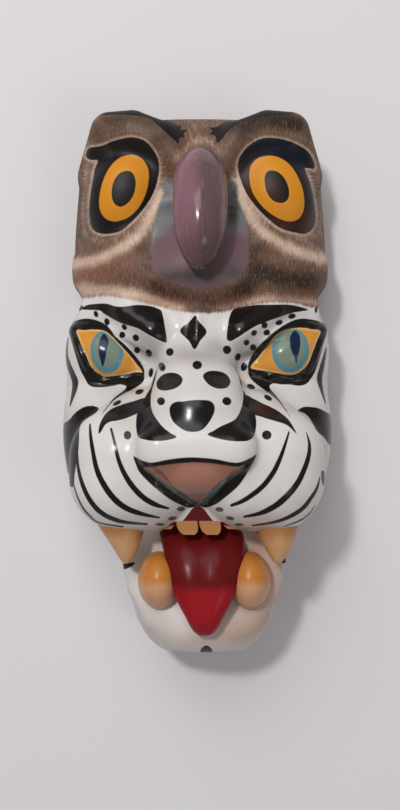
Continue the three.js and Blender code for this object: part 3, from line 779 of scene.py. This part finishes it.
def paintLayers(uv, points):
    eyes = regions(uv, owlPaint["eyes"])
    rings = regions(uv, owlPaint["rings"])
    openings = regions(uv, tigerPaint["openings"])
    across = np.abs(points[:, 0] - middle(points[:, 1]))
    behind = undersides["depth"] - points[:, 2] + undersides["slope"] * np.minimum(across, undersides["most"])
    behind = np.minimum(behind, undersides["top"] - points[:, 1])
    black = union([eyes, regions(uv, owlPaint["brows"], 4), tigerBlack(uv)])
    return {
        "furEdge": furDistance(uv),
        "skirtEdge": region(uv, owlPaint["skirt"]),
        "blackEdge": np.maximum(black, np.clip(behind, -far, far)),
        "greyEdge": dots(uv, tigerPaint["greyDots"]),
        "orangeEdge": union([np.maximum(rings, -regions(uv, owlPaint["pupils"])), openings]),
        "irisEdge": np.maximum(dots(uv, tigerPaint["irises"]), openings + eyeRimWidth),
        "innerEdge": np.maximum(dots(uv, tigerPaint["inner"]), openings + eyeRimWidth),
        "slitEdge": regions(uv, tigerPaint["slits"]),
        "leatherEdge": region(uv, tigerPaint["leather"]),
        "eyeEdge": eyes,
        "openingEdge": openings,
        "nostrilHighlightEdge": strokes(uv, tigerPaint["nostrilHighlights"]),
        "gumEdge": gumDistance(uv, points, across),
    }


# Height in millimetres, where it lies from a painted edge, and its width
lowRelief = {"lid": (1.7, 3.4, 2.8), "crease": (-0.9, 0.0, 1.6), "eyeRim": (-0.5, 0.5, 2.2)}
leatherRelief = {"depth": 0.9, "from": 0.6, "to": -1.6}


def ridge(away, height, at, width):
    return height * np.exp(-(((away - at) / width) ** 2))


def relief(layers):
    openings = layers["openingEdge"]
    lids = ridge(openings, *lowRelief["lid"]) + ridge(openings, *lowRelief["crease"])
    rims = ridge(layers["eyeEdge"], *lowRelief["eyeRim"])
    step = ramp(layers["leatherEdge"], leatherRelief["from"], leatherRelief["to"])
    return lids + rims - leatherRelief["depth"] * step


def linear(rgb):
    return tuple((c / 255 / 12.92) if c <= 10 else ((c / 255 + 0.055) / 1.055) ** 2.4 for c in rgb) + (1.0,)


class Nodes:
    def __init__(self, name):
        self.material = bpy.data.materials.new(name)
        self.material.use_nodes = True
        self.tree = self.material.node_tree
        self.shader = self.tree.nodes["Principled BSDF"]

    def add(self, kind, inputs=None, **settings):
        node = self.tree.nodes.new(kind)
        for key, value in settings.items():
            setattr(node, key, value)
        for key, value in (inputs or {}).items():
            self.put(value, node.inputs[key])
        return node

    def put(self, value, socket):
        if isinstance(value, bpy.types.NodeSocket):
            self.tree.links.new(value, socket)
        else:
            socket.default_value = value

    def attribute(self, name):
        return self.add("ShaderNodeAttribute", attribute_name=name)

    def math(self, operation, a, b=0.0, c=0.0):
        node = self.add("ShaderNodeMath", operation=operation)
        for i, value in enumerate((a, b, c)):
            self.put(value, node.inputs[i])
        return node.outputs[0]

    def spread(self, value, low, high, toLow=0.0, toHigh=1.0):
        node = self.add(
            "ShaderNodeMapRange",
            {"Value": value, "From Min": low, "From Max": high, "To Min": toLow, "To Max": toHigh},
            interpolation_type="SMOOTHSTEP",
        )
        return node.outputs[0]

    def mix(self, share, a, b, blend="MIX"):
        node = self.add("ShaderNodeMix", data_type="RGBA", blend_type=blend)
        self.put(share, node.inputs[0])
        self.put(a, node.inputs[6])
        self.put(b, node.inputs[7])
        return node.outputs[2]

    def noise(self, vector, scale, detail=3.0, roughness=0.55):
        node = self.add(
            "ShaderNodeTexNoise", {"Vector": vector, "Scale": scale, "Detail": detail, "Roughness": roughness}
        )
        return node.outputs[0]

    def stretched(self, vector, scales):
        node = self.add("ShaderNodeVectorMath", operation="MULTIPLY")
        self.put(vector, node.inputs[0])
        node.inputs[1].default_value = scales
        return node.outputs[0]

    def axes(self, vector):
        return self.add("ShaderNodeSeparateXYZ", {"Vector": vector}).outputs

    def place(self):
        return self.add("ShaderNodeTexCoord").outputs["Object"]

    def bump(self, height, strength, distance):
        return self.add(
            "ShaderNodeBump", {"Height": height, "Strength": strength, "Distance": distance}
        ).outputs[0]

    def lacquer(self, colour, roughness=0.25, ior=1.33, sheen=0.5):
        self.put(sheen, self.shader.inputs["Specular IOR Level"])
        self.put(colour, self.shader.inputs["Base Color"])
        self.put(roughness, self.shader.inputs["Roughness"])
        self.shader.inputs["IOR"].default_value = ior
        return self.material


paint = {
    "white": linear((213, 208, 205)),
    "whiteShade": linear((200, 193, 188)),
    "black": linear((22, 18, 17)),
    "blackWarm": linear((54, 24, 12)),
    "blackCool": linear((10, 15, 30)),
    "grey": linear((84, 80, 78)),
    "shade": linear((132, 122, 116)),
    # colour of the painted warm shadow on the jaw
    "jawWarmShadow": linear((180, 142, 120)),
    # grey of the painted highlights along the nostrils
    "nostril": linear((78, 84, 84)),
    "orange": linear((206, 134, 30)),
    "orangePale": linear((208, 144, 60)),
    "yellow": linear((232, 198, 142)),
    "iris": linear((82, 132, 146)),
    "inner": linear((114, 130, 114)),
    "slit": linear((20, 30, 62)),
    "leather": linear((158, 108, 92)),
    # darker, greyer leather for the painted shade on its lower part
    "leatherLowShade": linear((136, 112, 108)),
    "gum": linear((92, 20, 26)),
    "furDark": linear((46, 31, 24)),
    "furMiddle": linear((101, 75, 59)),
    "furLight": linear((212, 184, 164)),
    "furPale": linear((168, 138, 118)),
    "furRed": linear((150, 88, 66)),
    "skirtGrey": linear((114, 118, 119)),
    # colour of the skirt's painted shade and dark mottling
    "skirtMottleAndShade": linear((58, 58, 56)),
    "skirtMauve": linear((112, 86, 92)),
    "rawWood": linear((206, 172, 128)),
    "rawWoodDark": linear((176, 138, 94)),
}
gloss = {"lacquer": 0.2, "skirt": 0.36, "fur": 0.5, "owlEye": 0.46, "rawWood": 0.8}


def faceMaterial():
    n = Nodes("lacquered_face")
    place = n.place()
    wobble = n.noise(place, 260.0, 2.0)
    uneven = n.math("MULTIPLY_ADD", wobble, 1.4, -0.7)

    def value(name):
        return n.attribute(name).outputs["Fac"]

    def inside(name, softness=0.5, rough=0.35):
        edge = n.math("MULTIPLY_ADD", uneven, rough, value(name))
        return n.spread(edge, softness, -softness)

    cloud = n.noise(place, 16.0, 5.0, 0.6)
    colour = n.mix(n.spread(cloud, 0.4, 0.75), paint["white"], paint["whiteShade"])
    colour = n.mix(n.math("MINIMUM", value("shade"), 0.6), colour, paint["shade"])
    # painted warm shadow on the jaw
    colour = n.mix(n.math("MINIMUM", value("jawWarmShadow"), 0.7), colour, paint["jawWarmShadow"])
    # fur of the owl: fine brushed hairs over airbrushed tones
    flow = n.attribute("furFlow")
    down = n.attribute("picturePlace").outputs["Vector"]
    nearEye = n.axes(flow.outputs["Vector"])[2]

    def hairs(alongEyes, downwards, seed):
        first = n.noise(n.stretched(flow.outputs["Vector"], alongEyes), seed, 4.0, 0.7)
        second = n.noise(n.stretched(down, downwards), seed, 4.0, 0.7)
        both = n.add("ShaderNodeMix", data_type="FLOAT")
        n.put(nearEye, both.inputs[0])
        n.put(second, both.inputs[2])
        n.put(first, both.inputs[3])
        return both.outputs[0]

    strand = n.math("MULTIPLY_ADD", hairs((0.9, 0.11, 0.0), (0.62, 0.1, 0.0), 1.0), 2.0, -1.0)
    fine = hairs((1.4, 0.13, 0.0), (1.0, 0.11, 0.0), 1.3)
    stipple = n.noise(place, 620.0, 3.0, 0.7)
    grain = n.math("MULTIPLY_ADD", stipple, 1.4, -0.7)
    blotch = n.math("MULTIPLY_ADD", n.noise(place, 45.0, 4.0), 0.9, -0.45)
    level = n.math("MULTIPLY_ADD", strand, 0.62, value("furTone"))
    level = n.math("ADD", level, n.math("MULTIPLY_ADD", grain, 0.35, blotch))
    fur = n.mix(n.spread(level, -0.85, 0.15), paint["furDark"], paint["furMiddle"])
    fur = n.mix(n.spread(level, -0.05, 1.05), fur, paint["furLight"])
    fur = n.mix(n.spread(fine, 0.52, 0.68, 0.0, 0.5), fur, paint["furPale"])
    fur = n.mix(n.spread(fine, 0.46, 0.32, 0.0, 0.6), fur, paint["furDark"])
    halo = n.math("MULTIPLY", n.spread(value("eyeEdge"), 4.2, 0.6), n.spread(strand, -0.5, 0.4, 0.2, 0.75))
    fur = n.mix(halo, fur, paint["furLight"])
    red = n.math("MULTIPLY", value("furRed"), n.spread(strand, -0.4, 0.5, 0.1, 0.75))
    fur = n.mix(red, fur, paint["furRed"])
    edge = n.math("MULTIPLY_ADD", strand, 3.2, value("furEdge"))
    isFur = n.spread(edge, 1.6, -1.6)
    colour = n.mix(isFur, colour, fur)
    # horny skirt round the beak
    mottle = n.noise(place, 75.0, 4.0, 0.6)
    mauve = n.math("MULTIPLY_ADD", n.noise(place, 50.0, 3.0), 1.6, value("skirtMauve"))
    skirt = n.mix(n.spread(mauve, 0.75, 1.75), paint["skirtGrey"], paint["skirtMauve"])
    # painted shade beside the beak and dark mottling under it
    dark = n.math("MULTIPLY", value("skirtMottleAndShade"), n.spread(mottle, 0.35, 0.6, 0.5, 1.0))
    skirt = n.mix(dark, skirt, paint["skirtMottleAndShade"])
    isSkirt = inside("skirtEdge", 2.0, 2.4)
    colour = n.mix(isSkirt, colour, skirt)
    tint = value("blackTint")
    black = n.mix(n.spread(tint, 0.1, 0.8), paint["black"], paint["blackWarm"])
    black = n.mix(n.spread(tint, -0.1, -0.8), black, paint["blackCool"])
    colour = n.mix(inside("blackEdge", 0.42, 0.3), colour, black)
    colour = n.mix(inside("greyEdge", 0.5, 0.3), colour, paint["grey"])
    height = value("rowPlace")
    glow = n.mix(n.spread(height, 325.0, 345.0), paint["orange"], paint["orangePale"])
    innerRim = n.spread(value("openingEdge"), -3.2, -0.8)
    outerRim = n.spread(value("openingEdge"), 1.4, 0.4, 0.0, 0.55)
    glow = n.mix(n.math("MULTIPLY", innerRim, outerRim), glow, paint["yellow"])
    colour = n.mix(inside("orangeEdge", 0.42, 0.25), colour, glow)
    for part, softness, rough in (("iris", 0.5, 0.4), ("inner", 1.2, 0.8), ("slit", 0.5, 0.3)):
        colour = n.mix(inside(part + "Edge", softness, rough), colour, paint[part])
    # painted shade: the nose leather is darker and greyer towards its lower edge, which faces down
    leather = n.mix(n.spread(height, 480.0, 502.0), paint["leather"], paint["leatherLowShade"])
    colour = n.mix(inside("leatherEdge", 0.5, 0.4), colour, leather)
    # painted highlights along the nostrils' edges
    colour = n.mix(inside("nostrilHighlightEdge", 0.8, 0.6), colour, paint["nostril"])
    colour = n.mix(n.spread(value("gumEdge"), 0.5, -0.4), colour, paint["gum"])
    # bare wood inside the hollow
    lines = n.noise(n.stretched(place, (160.0, 9.0, 160.0)), 1.0, 5.0, 0.65)
    bare = n.mix(n.spread(lines, 0.35, 0.7), paint["rawWood"], paint["rawWoodDark"])
    isBare = value("bareWood")
    colour = n.mix(isBare, colour, bare)
    tools = n.noise(place, 22.0, 2.0)
    n.put(n.bump(tools, 0.25, 0.001), n.shader.inputs["Normal"])
    rough = n.spread(isFur, 0.0, 1.0, gloss["lacquer"], gloss["fur"])
    rough = n.spread(isSkirt, 0.0, 1.0, rough, gloss["skirt"])
    isEye = n.math("MULTIPLY", isFur, n.spread(value("eyeEdge"), 1.0, -1.0))
    rough = n.spread(isEye, 0.0, 1.0, rough, gloss["owlEye"])
    rough = n.spread(isBare, 0.0, 1.0, rough, gloss["rawWood"])
    smudge = n.math("MULTIPLY_ADD", n.noise(place, 60.0, 4.0), 0.14, -0.07)
    rough = n.math("ADD", rough, smudge)
    rough = n.math("ADD", rough, n.spread(height, 535.0, 555.0, 0.0, 0.2))
    return n.lacquer(colour, rough, 1.33, n.spread(value("facing"), 0.1, 0.7, 0.1, 0.5))


# Attributes hold one number at each point, vectors hold three
def meshObject(name, points, triangles, attributes=None, vectors=None):
    mesh = bpy.data.meshes.new(name)
    mesh.vertices.add(len(points))
    mesh.vertices.foreach_set("co", np.asarray(points, dtype=np.float32).ravel())
    mesh.loops.add(len(triangles) * 3)
    mesh.loops.foreach_set("vertex_index", np.asarray(triangles, dtype=np.int32).ravel())
    mesh.polygons.add(len(triangles))
    mesh.polygons.foreach_set("loop_start", np.arange(0, len(triangles) * 3, 3, dtype=np.int32))
    mesh.update(calc_edges=True)
    mesh.validate()
    mesh.shade_smooth()
    for key, values in (attributes or {}).items():
        layer = mesh.attributes.new(key, "FLOAT", "POINT")
        layer.data.foreach_set("value", np.asarray(values, dtype=np.float32))
    for key, values in (vectors or {}).items():
        layer = mesh.attributes.new(key, "FLOAT_VECTOR", "POINT")
        layer.data.foreach_set("vector", np.asarray(values, dtype=np.float32).ravel())
    piece = bpy.data.objects.new(name, mesh)
    bpy.context.scene.collection.objects.link(piece)
    return piece


def dress(piece, material):
    piece.data.materials.clear()
    piece.data.materials.append(material)
    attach(piece, "root")
    return piece


def faceNormals(points):
    slope = gradient(faceField, points)
    return slope / np.maximum(np.linalg.norm(slope, axis=1), 1e-6)[:, None]


def toPaint(points, outline):
    uv = unrolled(points, faceNormals(points), outline)
    away = union([np.abs(values) for key, values in paintLayers(uv, points).items() if key != "furEdge"])
    return np.where(np.abs(faceField(*points.T)) < meshing["outerSkin"], away, far)


def carvedFace():
    points, triangles = carvedSurface()
    print("face surface", len(points), "points")
    points = settled(points)
    outline = outlineHeights(points)
    away = toPaint(points, outline)
    for fine, reach in meshing["finer"]:
        allowed = np.where(away < reach, fine, meshing["longest"])
        points, triangles, old = refined(points, triangles, allowed)
        points[old:] = settled(points[old:])
        away = np.concatenate([away, toPaint(points[old:], outline)])
        print("face refined to", len(triangles), "triangles")
    normals = faceNormals(points)
    uv = unrolled(points, normals, outline)
    layers = paintLayers(uv, points)
    outer = ramp(np.abs(faceField(*points.T)), *meshing["innerSkin"])
    points = points + normals * (relief(layers) * outer)[:, None]
    layers["furTone"] = furTone(uv)
    layers["rowPlace"] = uv[:, 1]
    layers["bareWood"] = 1 - outer
    layers["facing"] = normals[:, 2]
    layers.update({name: spots(uv, values) for name, values in tints.items()})
    layers["jawWarmShadow"] *= ramp(points[:, 2], *undersides["jawShadowFade"])
    points[:, 2] = np.maximum(points[:, 2], 0)
    flat = np.concatenate([uv, np.zeros((len(uv), 1))], axis=1)
    return points, triangles, layers, {"furFlow": furFlow(uv), "picturePlace": flat}


points, triangles, layers, vectors = carvedFace()
low, high = points.min(0), points.max(0)
offset = (low + high) / 2
offset[2] = 0
cadLow, cadHigh = [np.array(corner) * 1000 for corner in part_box("mask")]
inset = 0.9995  # keeps the surface just inside the CAD box
fit = min(1.0, *((cadHigh - cadLow) / (high - low))[:2]) * inset


# From the drawing's frame to the row's, in metres
def placed(at):
    return (np.asarray(at, dtype=float) - offset) * fit / 1000


face = meshObject("carved_face", placed(points), triangles, layers, vectors)
dress(face, faceMaterial())
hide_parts("mask")
print("face done", len(triangles), "triangles")


def spline(stations, count):
    p = np.array(stations, dtype=float)
    ring = withEnds(p)
    share = np.linspace(0, len(p) - 1, count)
    i = np.minimum(share.astype(int), len(p) - 2)
    return curve(ring[i], ring[i + 1], ring[i + 2], ring[i + 3], (share - i)[:, None])


# Triangles between rings of points, with a fan at each end
def stitched(turns, sides):
    triangles = []
    first = (turns + 1) * sides
    for k in range(sides):
        nxt = (k + 1) % sides
        for i in range(turns):
            a, b = i * sides + k, i * sides + nxt
            triangles += [(a, b, a + sides), (b, b + sides, a + sides)]
        triangles += [(first, nxt, k), (first + 1, turns * sides + k, turns * sides + nxt)]
    return np.array(triangles)


# Along stations of x, y, z, half width and half thickness
def swept(stations, section, sides=40, turns=60):
    path = spline(stations, turns + 1)
    tangent = np.gradient(path[:, :3], axis=0)
    tangent /= np.linalg.norm(tangent, axis=1)[:, None]
    across = np.array([1.0, 0, 0])
    up = np.cross(tangent, across)
    up /= np.linalg.norm(up, axis=1)[:, None]
    angle = np.linspace(0, 2 * math.pi, sides, endpoint=False)
    wide, thick = section(angle)
    rings = (path[:, None, :3] + across * (path[:, 3:4] * wide)[..., None]
             + up[:, None] * (path[:, 4:5] * thick)[..., None])
    points = rings.reshape(-1, 3)
    points = np.concatenate([points, path[:1, :3], path[-1:, :3]])
    points[:, 0] += middle(points[:, 1])
    return points, stitched(turns, sides)


beak = {
    "stations": [
        (0, 161, 84, 5, 4), (0, 152, 93, 13, 9), (0, 144, 99.5, 17, 12), (0, 135, 105, 18.2, 14),
        (0, 114, 114, 18.5, 15), (0, 96, 116, 16.3, 14), (0, 86, 114.5, 13, 11),
        (0, 80, 111.5, 9.5, 8), (0, 77.6, 109, 6.5, 5), (0, 76.6, 107, 3, 2.4),
    ],
    "mauve": linear((126, 90, 100)), "grey": linear((96, 74, 77)), "dark": linear((78, 54, 58)),
    "pale": linear((146, 116, 124)), "edge": linear((134, 112, 114)), "keel": 0.07, "rough": 0.17, "ior": 1.42,
}


def beakSection(angle):
    keel = 1 + beak["keel"] * np.exp(-(((angle - math.pi / 2) / 0.35) ** 2))
    return np.cos(angle), np.sin(angle) * keel


def beakMaterial():
    n = Nodes("lacquered_beak")
    place = n.place()
    streaks = n.noise(n.stretched(place, (420.0, 22.0, 200.0)), 1.0, 4.0, 0.6)
    x, y, _ = n.axes(place)
    wander = n.math("MULTIPLY_ADD", n.noise(place, 30.0), 0.008, x)
    # painted shade: the beak's right half is greyer and darker than its mauve left half
    colour = n.mix(n.spread(wander, -0.002, 0.010), beak["mauve"], beak["grey"])
    colour = n.mix(n.spread(wander, 0.0185, 0.0215, 0.0, 0.6), colour, beak["edge"])
    low = n.math("MULTIPLY_ADD", streaks, 0.02, y)
    colour = n.mix(n.spread(low, 0.128, 0.088, 0.0, 0.6), colour, beak["dark"])
    colour = n.mix(n.spread(streaks, 0.5, 0.8, 0.0, 0.4), colour, beak["dark"])
    pale = n.noise(n.stretched(place, (300.0, 20.0, 120.0)), 1.7, 3.0, 0.6)
    colour = n.mix(n.spread(pale, 0.55, 0.8, 0.0, 0.4), colour, beak["pale"])
    n.put(n.bump(streaks, 0.2, 0.0006), n.shader.inputs["Normal"])
    return n.lacquer(colour, beak["rough"], beak["ior"])


def makeBeak():
    points, triangles = swept(beak["stations"], beakSection)
    return dress(meshObject("beak", placed(points), triangles), beakMaterial())


tongue = {
    "stations": [
        (0, -92, 58, 28, 9), (0, -108, 82, 29.2, 10), (0, -122, 93, 27.4, 10), (0, -135, 98, 24, 10),
        (0, -149, 100, 19.8, 9.5), (0, -162, 100, 13, 8), (0, -170, 98, 8.8, 5.6), (0, -174.5, 95, 4.3, 2.5),
    ],
    "red": linear((146, 26, 34)), "dark": linear((96, 19, 20)), "tip": linear((138, 32, 50)),
    "muzzleShadowFrom": (-0.141, -0.132), "tipFrom": (-0.160, -0.175),  # metres along y
    "groove": 0.16, "rough": 0.24, "ior": 1.24, "sheen": 0.35,
}


def tongueSection(angle):
    groove = 1 - tongue["groove"] * np.exp(-(((angle - math.pi / 2) / 0.3) ** 2))
    return np.cos(angle), np.sin(angle) * groove


def tongueMaterial():
    n = Nodes("lacquered_tongue")
    place = n.place()
    y = n.axes(place)[1]
    cloud = n.noise(n.stretched(place, (60.0, 20.0, 60.0)), 1.0, 3.0)
    wave = n.math("MULTIPLY_ADD", n.noise(place, 40.0), 0.008, y)
    # painted shadow of the muzzle: the tongue's upper part is darker, down to a sharp line
    colour = n.mix(n.spread(wave, *tongue["muzzleShadowFrom"]), tongue["red"], tongue["dark"])
    colour = n.mix(n.spread(y, *tongue["tipFrom"]), colour, tongue["tip"])
    colour = n.mix(n.spread(cloud, 0.4, 0.75, 0.0, 0.35), colour, tongue["dark"])
    n.put(n.bump(cloud, 0.3, 0.001), n.shader.inputs["Normal"])
    return n.lacquer(colour, tongue["rough"], tongue["ior"], tongue["sheen"])


def makeTongue():
    points, triangles = swept(tongue["stations"], tongueSection)
    return dress(meshObject("tongue", placed(points), triangles), tongueMaterial())


teeth = {
    "upperFang": {"x": 53, "top": -81, "z": 94, "lean": -0.08, "swing": (-0.012, -0.065),  # left, right
                  "radius": 25, "length": 45},
    "lowerFang": {"at": (31.5, -139.4, 82), "radii": (15, 20, 24), "lean": 0.2},
    "incisor": {"count": 4, "spacing": 15.5, "bottom": -105, "outerRise": 3.5, "z": 106.5,
                "width": 15, "height": 11.5, "thickness": 5},
    "ivory": linear((194, 148, 108)), "root": linear((172, 118, 72)), "pale": linear((196, 148, 112)),
    # the lower fangs' amber and where it starts are painted shadow on their upper part
    "amberInShadow": linear((186, 118, 50)), "rootFrom": (-0.104, -0.094), "shadowLineFrom": (-0.136, -0.128), "rough": 0.3,
}


def revolved(profile, sides):
    angle = np.linspace(0, 2 * math.pi, sides, endpoint=False)
    rings = [np.stack([r * np.cos(angle), np.full(sides, y), r * np.sin(angle)], 1) for r, y in profile[1:-1]]
    points = np.concatenate(rings + [[[0, profile[0][1], 0], [0, profile[-1][1], 0]]])
    return points, stitched(len(rings) - 1, sides)


def turnedX(points, angle):
    c, s = math.cos(angle), math.sin(angle)
    return points @ np.array([[1, 0, 0], [0, c, s], [0, -s, c]])


def turnedZ(points, angle):
    c, s = math.cos(angle), math.sin(angle)
    return points @ np.array([[c, s, 0], [-s, c, 0], [0, 0, 1]])


def toothMaterial(name, first, second, change):
    n = Nodes(name)
    place = n.place()
    cloud = n.noise(n.stretched(place, (90.0, 30.0, 90.0)), 1.0, 4.0, 0.6)
    level = n.math("MULTIPLY_ADD", cloud, 0.012, n.axes(place)[1])
    colour = n.mix(n.spread(level, *change), teeth[first], teeth[second])
    colour = n.mix(n.spread(cloud, 0.45, 0.8, 0.0, 0.4), colour, teeth["root"])
    n.put(n.bump(cloud, 0.25, 0.0008), n.shader.inputs["Normal"])
    return n.lacquer(colour, teeth["rough"])


def upperFang(side):
    form = teeth["upperFang"]
    share = np.linspace(0, 0.995, 40)
    radius = form["radius"] * np.sqrt(1 - share) * (1 - 0.35 * share)
    sides = [(r, -form["length"] * s) for r, s in zip(radius[::-1], share[::-1])]
    points, triangles = revolved([(0, -form["length"])] + sides + [(0, 0)], 36)
    points = turnedZ(turnedX(points, form["lean"]), form["swing"][side > 0])
    return points + [side * form["x"], form["top"], form["z"]], triangles


def lowerFang(side):
    form = teeth["lowerFang"]
    share = np.linspace(0, math.pi, 40)[1:-1]
    profile = [(0, -1)] + [(math.sin(a), -math.cos(a)) for a in share] + [(0, 1)]
    points, triangles = revolved(profile, 40)
    return turnedX(points * form["radii"], -form["lean"]) + np.array(form["at"]) * [side, 1, 1], triangles


def incisor(number):
    form = teeth["incisor"]
    x = (number - (form["count"] - 1) / 2) * form["spacing"]
    half, height, depth = form["width"] / 2, form["height"], form["thickness"]
    outline = [(-half, height), (-half, height / 2), (-half * 0.86, 2.2), (-half * 0.55, 0),
               (half * 0.55, 0), (half * 0.86, 2.2), (half, height / 2), (half, height)]
    n = len(outline)
    front = [(px, py, 0) for px, py in outline]
    points = np.array(front + [(px * 0.96, py, depth) for px, py in outline])
    triangles = [(0, i + 1, i) for i in range(1, n - 1)]
    triangles += [(n, n + i, n + i + 1) for i in range(1, n - 1)]
    for i in range(n):
        j = (i + 1) % n
        triangles += [(i, j, n + j), (i, n + j, n + i)]
    bottom = form["bottom"] + (form["outerRise"] if abs(x) > form["spacing"] else 0)
    return points + [x, bottom, form["z"] - depth / 2 - abs(x) * 0.2], np.array(triangles)


def makeTooth(name, shape, material):
    points, triangles = shape
    points[:, 0] += middle(points[:, 1])
    return dress(meshObject(name, placed(points), triangles), material)


def makeTeeth():
    upper = toothMaterial("lacquered_upper_teeth", "ivory", "root", teeth["rootFrom"])
    # lower fangs: the amber upper part is painted shadow of the muzzle, the pale lower part their colour in
    # light
    lower = toothMaterial("lacquered_lower_fangs", "pale", "amberInShadow", teeth["shadowLineFrom"])
    for side, word in ((-1, "left"), (1, "right")):
        makeTooth(f"upper_fang_{word}", upperFang(side), upper)
        makeTooth(f"lower_fang_{word}", lowerFang(side), lower)
    for number in range(teeth["incisor"]["count"]):
        tooth = makeTooth(f"incisor_{number + 1}", incisor(number), upper)
        bevel = tooth.modifiers.new("soft_edges", "BEVEL")
        bevel.width, bevel.segments, bevel.limit_method = 0.0009, 3, "ANGLE"


makeBeak()
makeTongue()
makeTeeth()
print("beak, tongue and teeth done")


# Places are in metres and powers in watts
studio = {
    "floor": linear((216, 212, 214)), "floorHalf": 3.0, "floorGap": 0.0003, "aim": (0, 0, 0.06),
    "sky": (1.0, 0.99, 0.98, 1.0), "skyStrength": 0.3,
    "key": {"at": (-0.72, 0.95, 2.5), "size": (0.24, 0.24), "power": 32.0},
    "ceiling": {"at": (-0.5, 1.6, 1.9), "size": (1.4, 1.4), "power": 20.0},
    "fill": {"at": (1.2, -0.9, 2.1), "size": (0.9, 0.9), "power": 6.0},
}


def makeFloor():
    half = studio["floorHalf"]
    corners = [(-half, -half, 0), (half, -half, 0), (half, half, 0), (-half, half, 0)]
    mesh = bpy.data.meshes.new("floor")
    mesh.from_pydata(corners, [], [(0, 1, 2, 3)])
    floor = bpy.data.objects.new("floor", mesh)
    floor.location.z = -studio["floorGap"]
    bpy.context.scene.collection.objects.link(floor)
    n = Nodes("floor_paint")
    n.put(studio["floor"], n.shader.inputs["Base Color"])
    n.put(0.85, n.shader.inputs["Roughness"])
    mesh.materials.append(n.material)


def makeLight(name, form):
    lamp = bpy.data.lights.new(name, "AREA")
    lamp.shape = "RECTANGLE"
    lamp.size, lamp.size_y = form["size"]
    lamp.energy = form["power"]
    item = bpy.data.objects.new(name, lamp)
    item.location = form["at"]
    towards = Vector(studio["aim"]) - Vector(form["at"])
    item.rotation_euler = towards.to_track_quat("-Z", "Y").to_euler()
    bpy.context.scene.collection.objects.link(item)


def makeWorld():
    world = bpy.data.worlds.new("studio")
    world.use_nodes = True
    background = world.node_tree.nodes["Background"]
    background.inputs[0].default_value = studio["sky"]
    background.inputs[1].default_value = studio["skyStrength"]
    bpy.context.scene.world = world


def makeCamera():
    data = bpy.data.cameras.new("camera")
    data.lens = look["focal"] * look["sensor"] / look["rows"]
    data.sensor_width = look["sensor"]
    camera = bpy.data.objects.new("camera", data)
    camera.location = placed((0, look["centreY"], look["distance"]))
    bpy.context.scene.collection.objects.link(camera)
    bpy.context.scene.camera = camera


makeFloor()
for name in ("key", "ceiling", "fill"):
    makeLight(name, studio[name])
makeWorld()
makeCamera()
bpy.context.scene.view_settings.view_transform = "Standard"
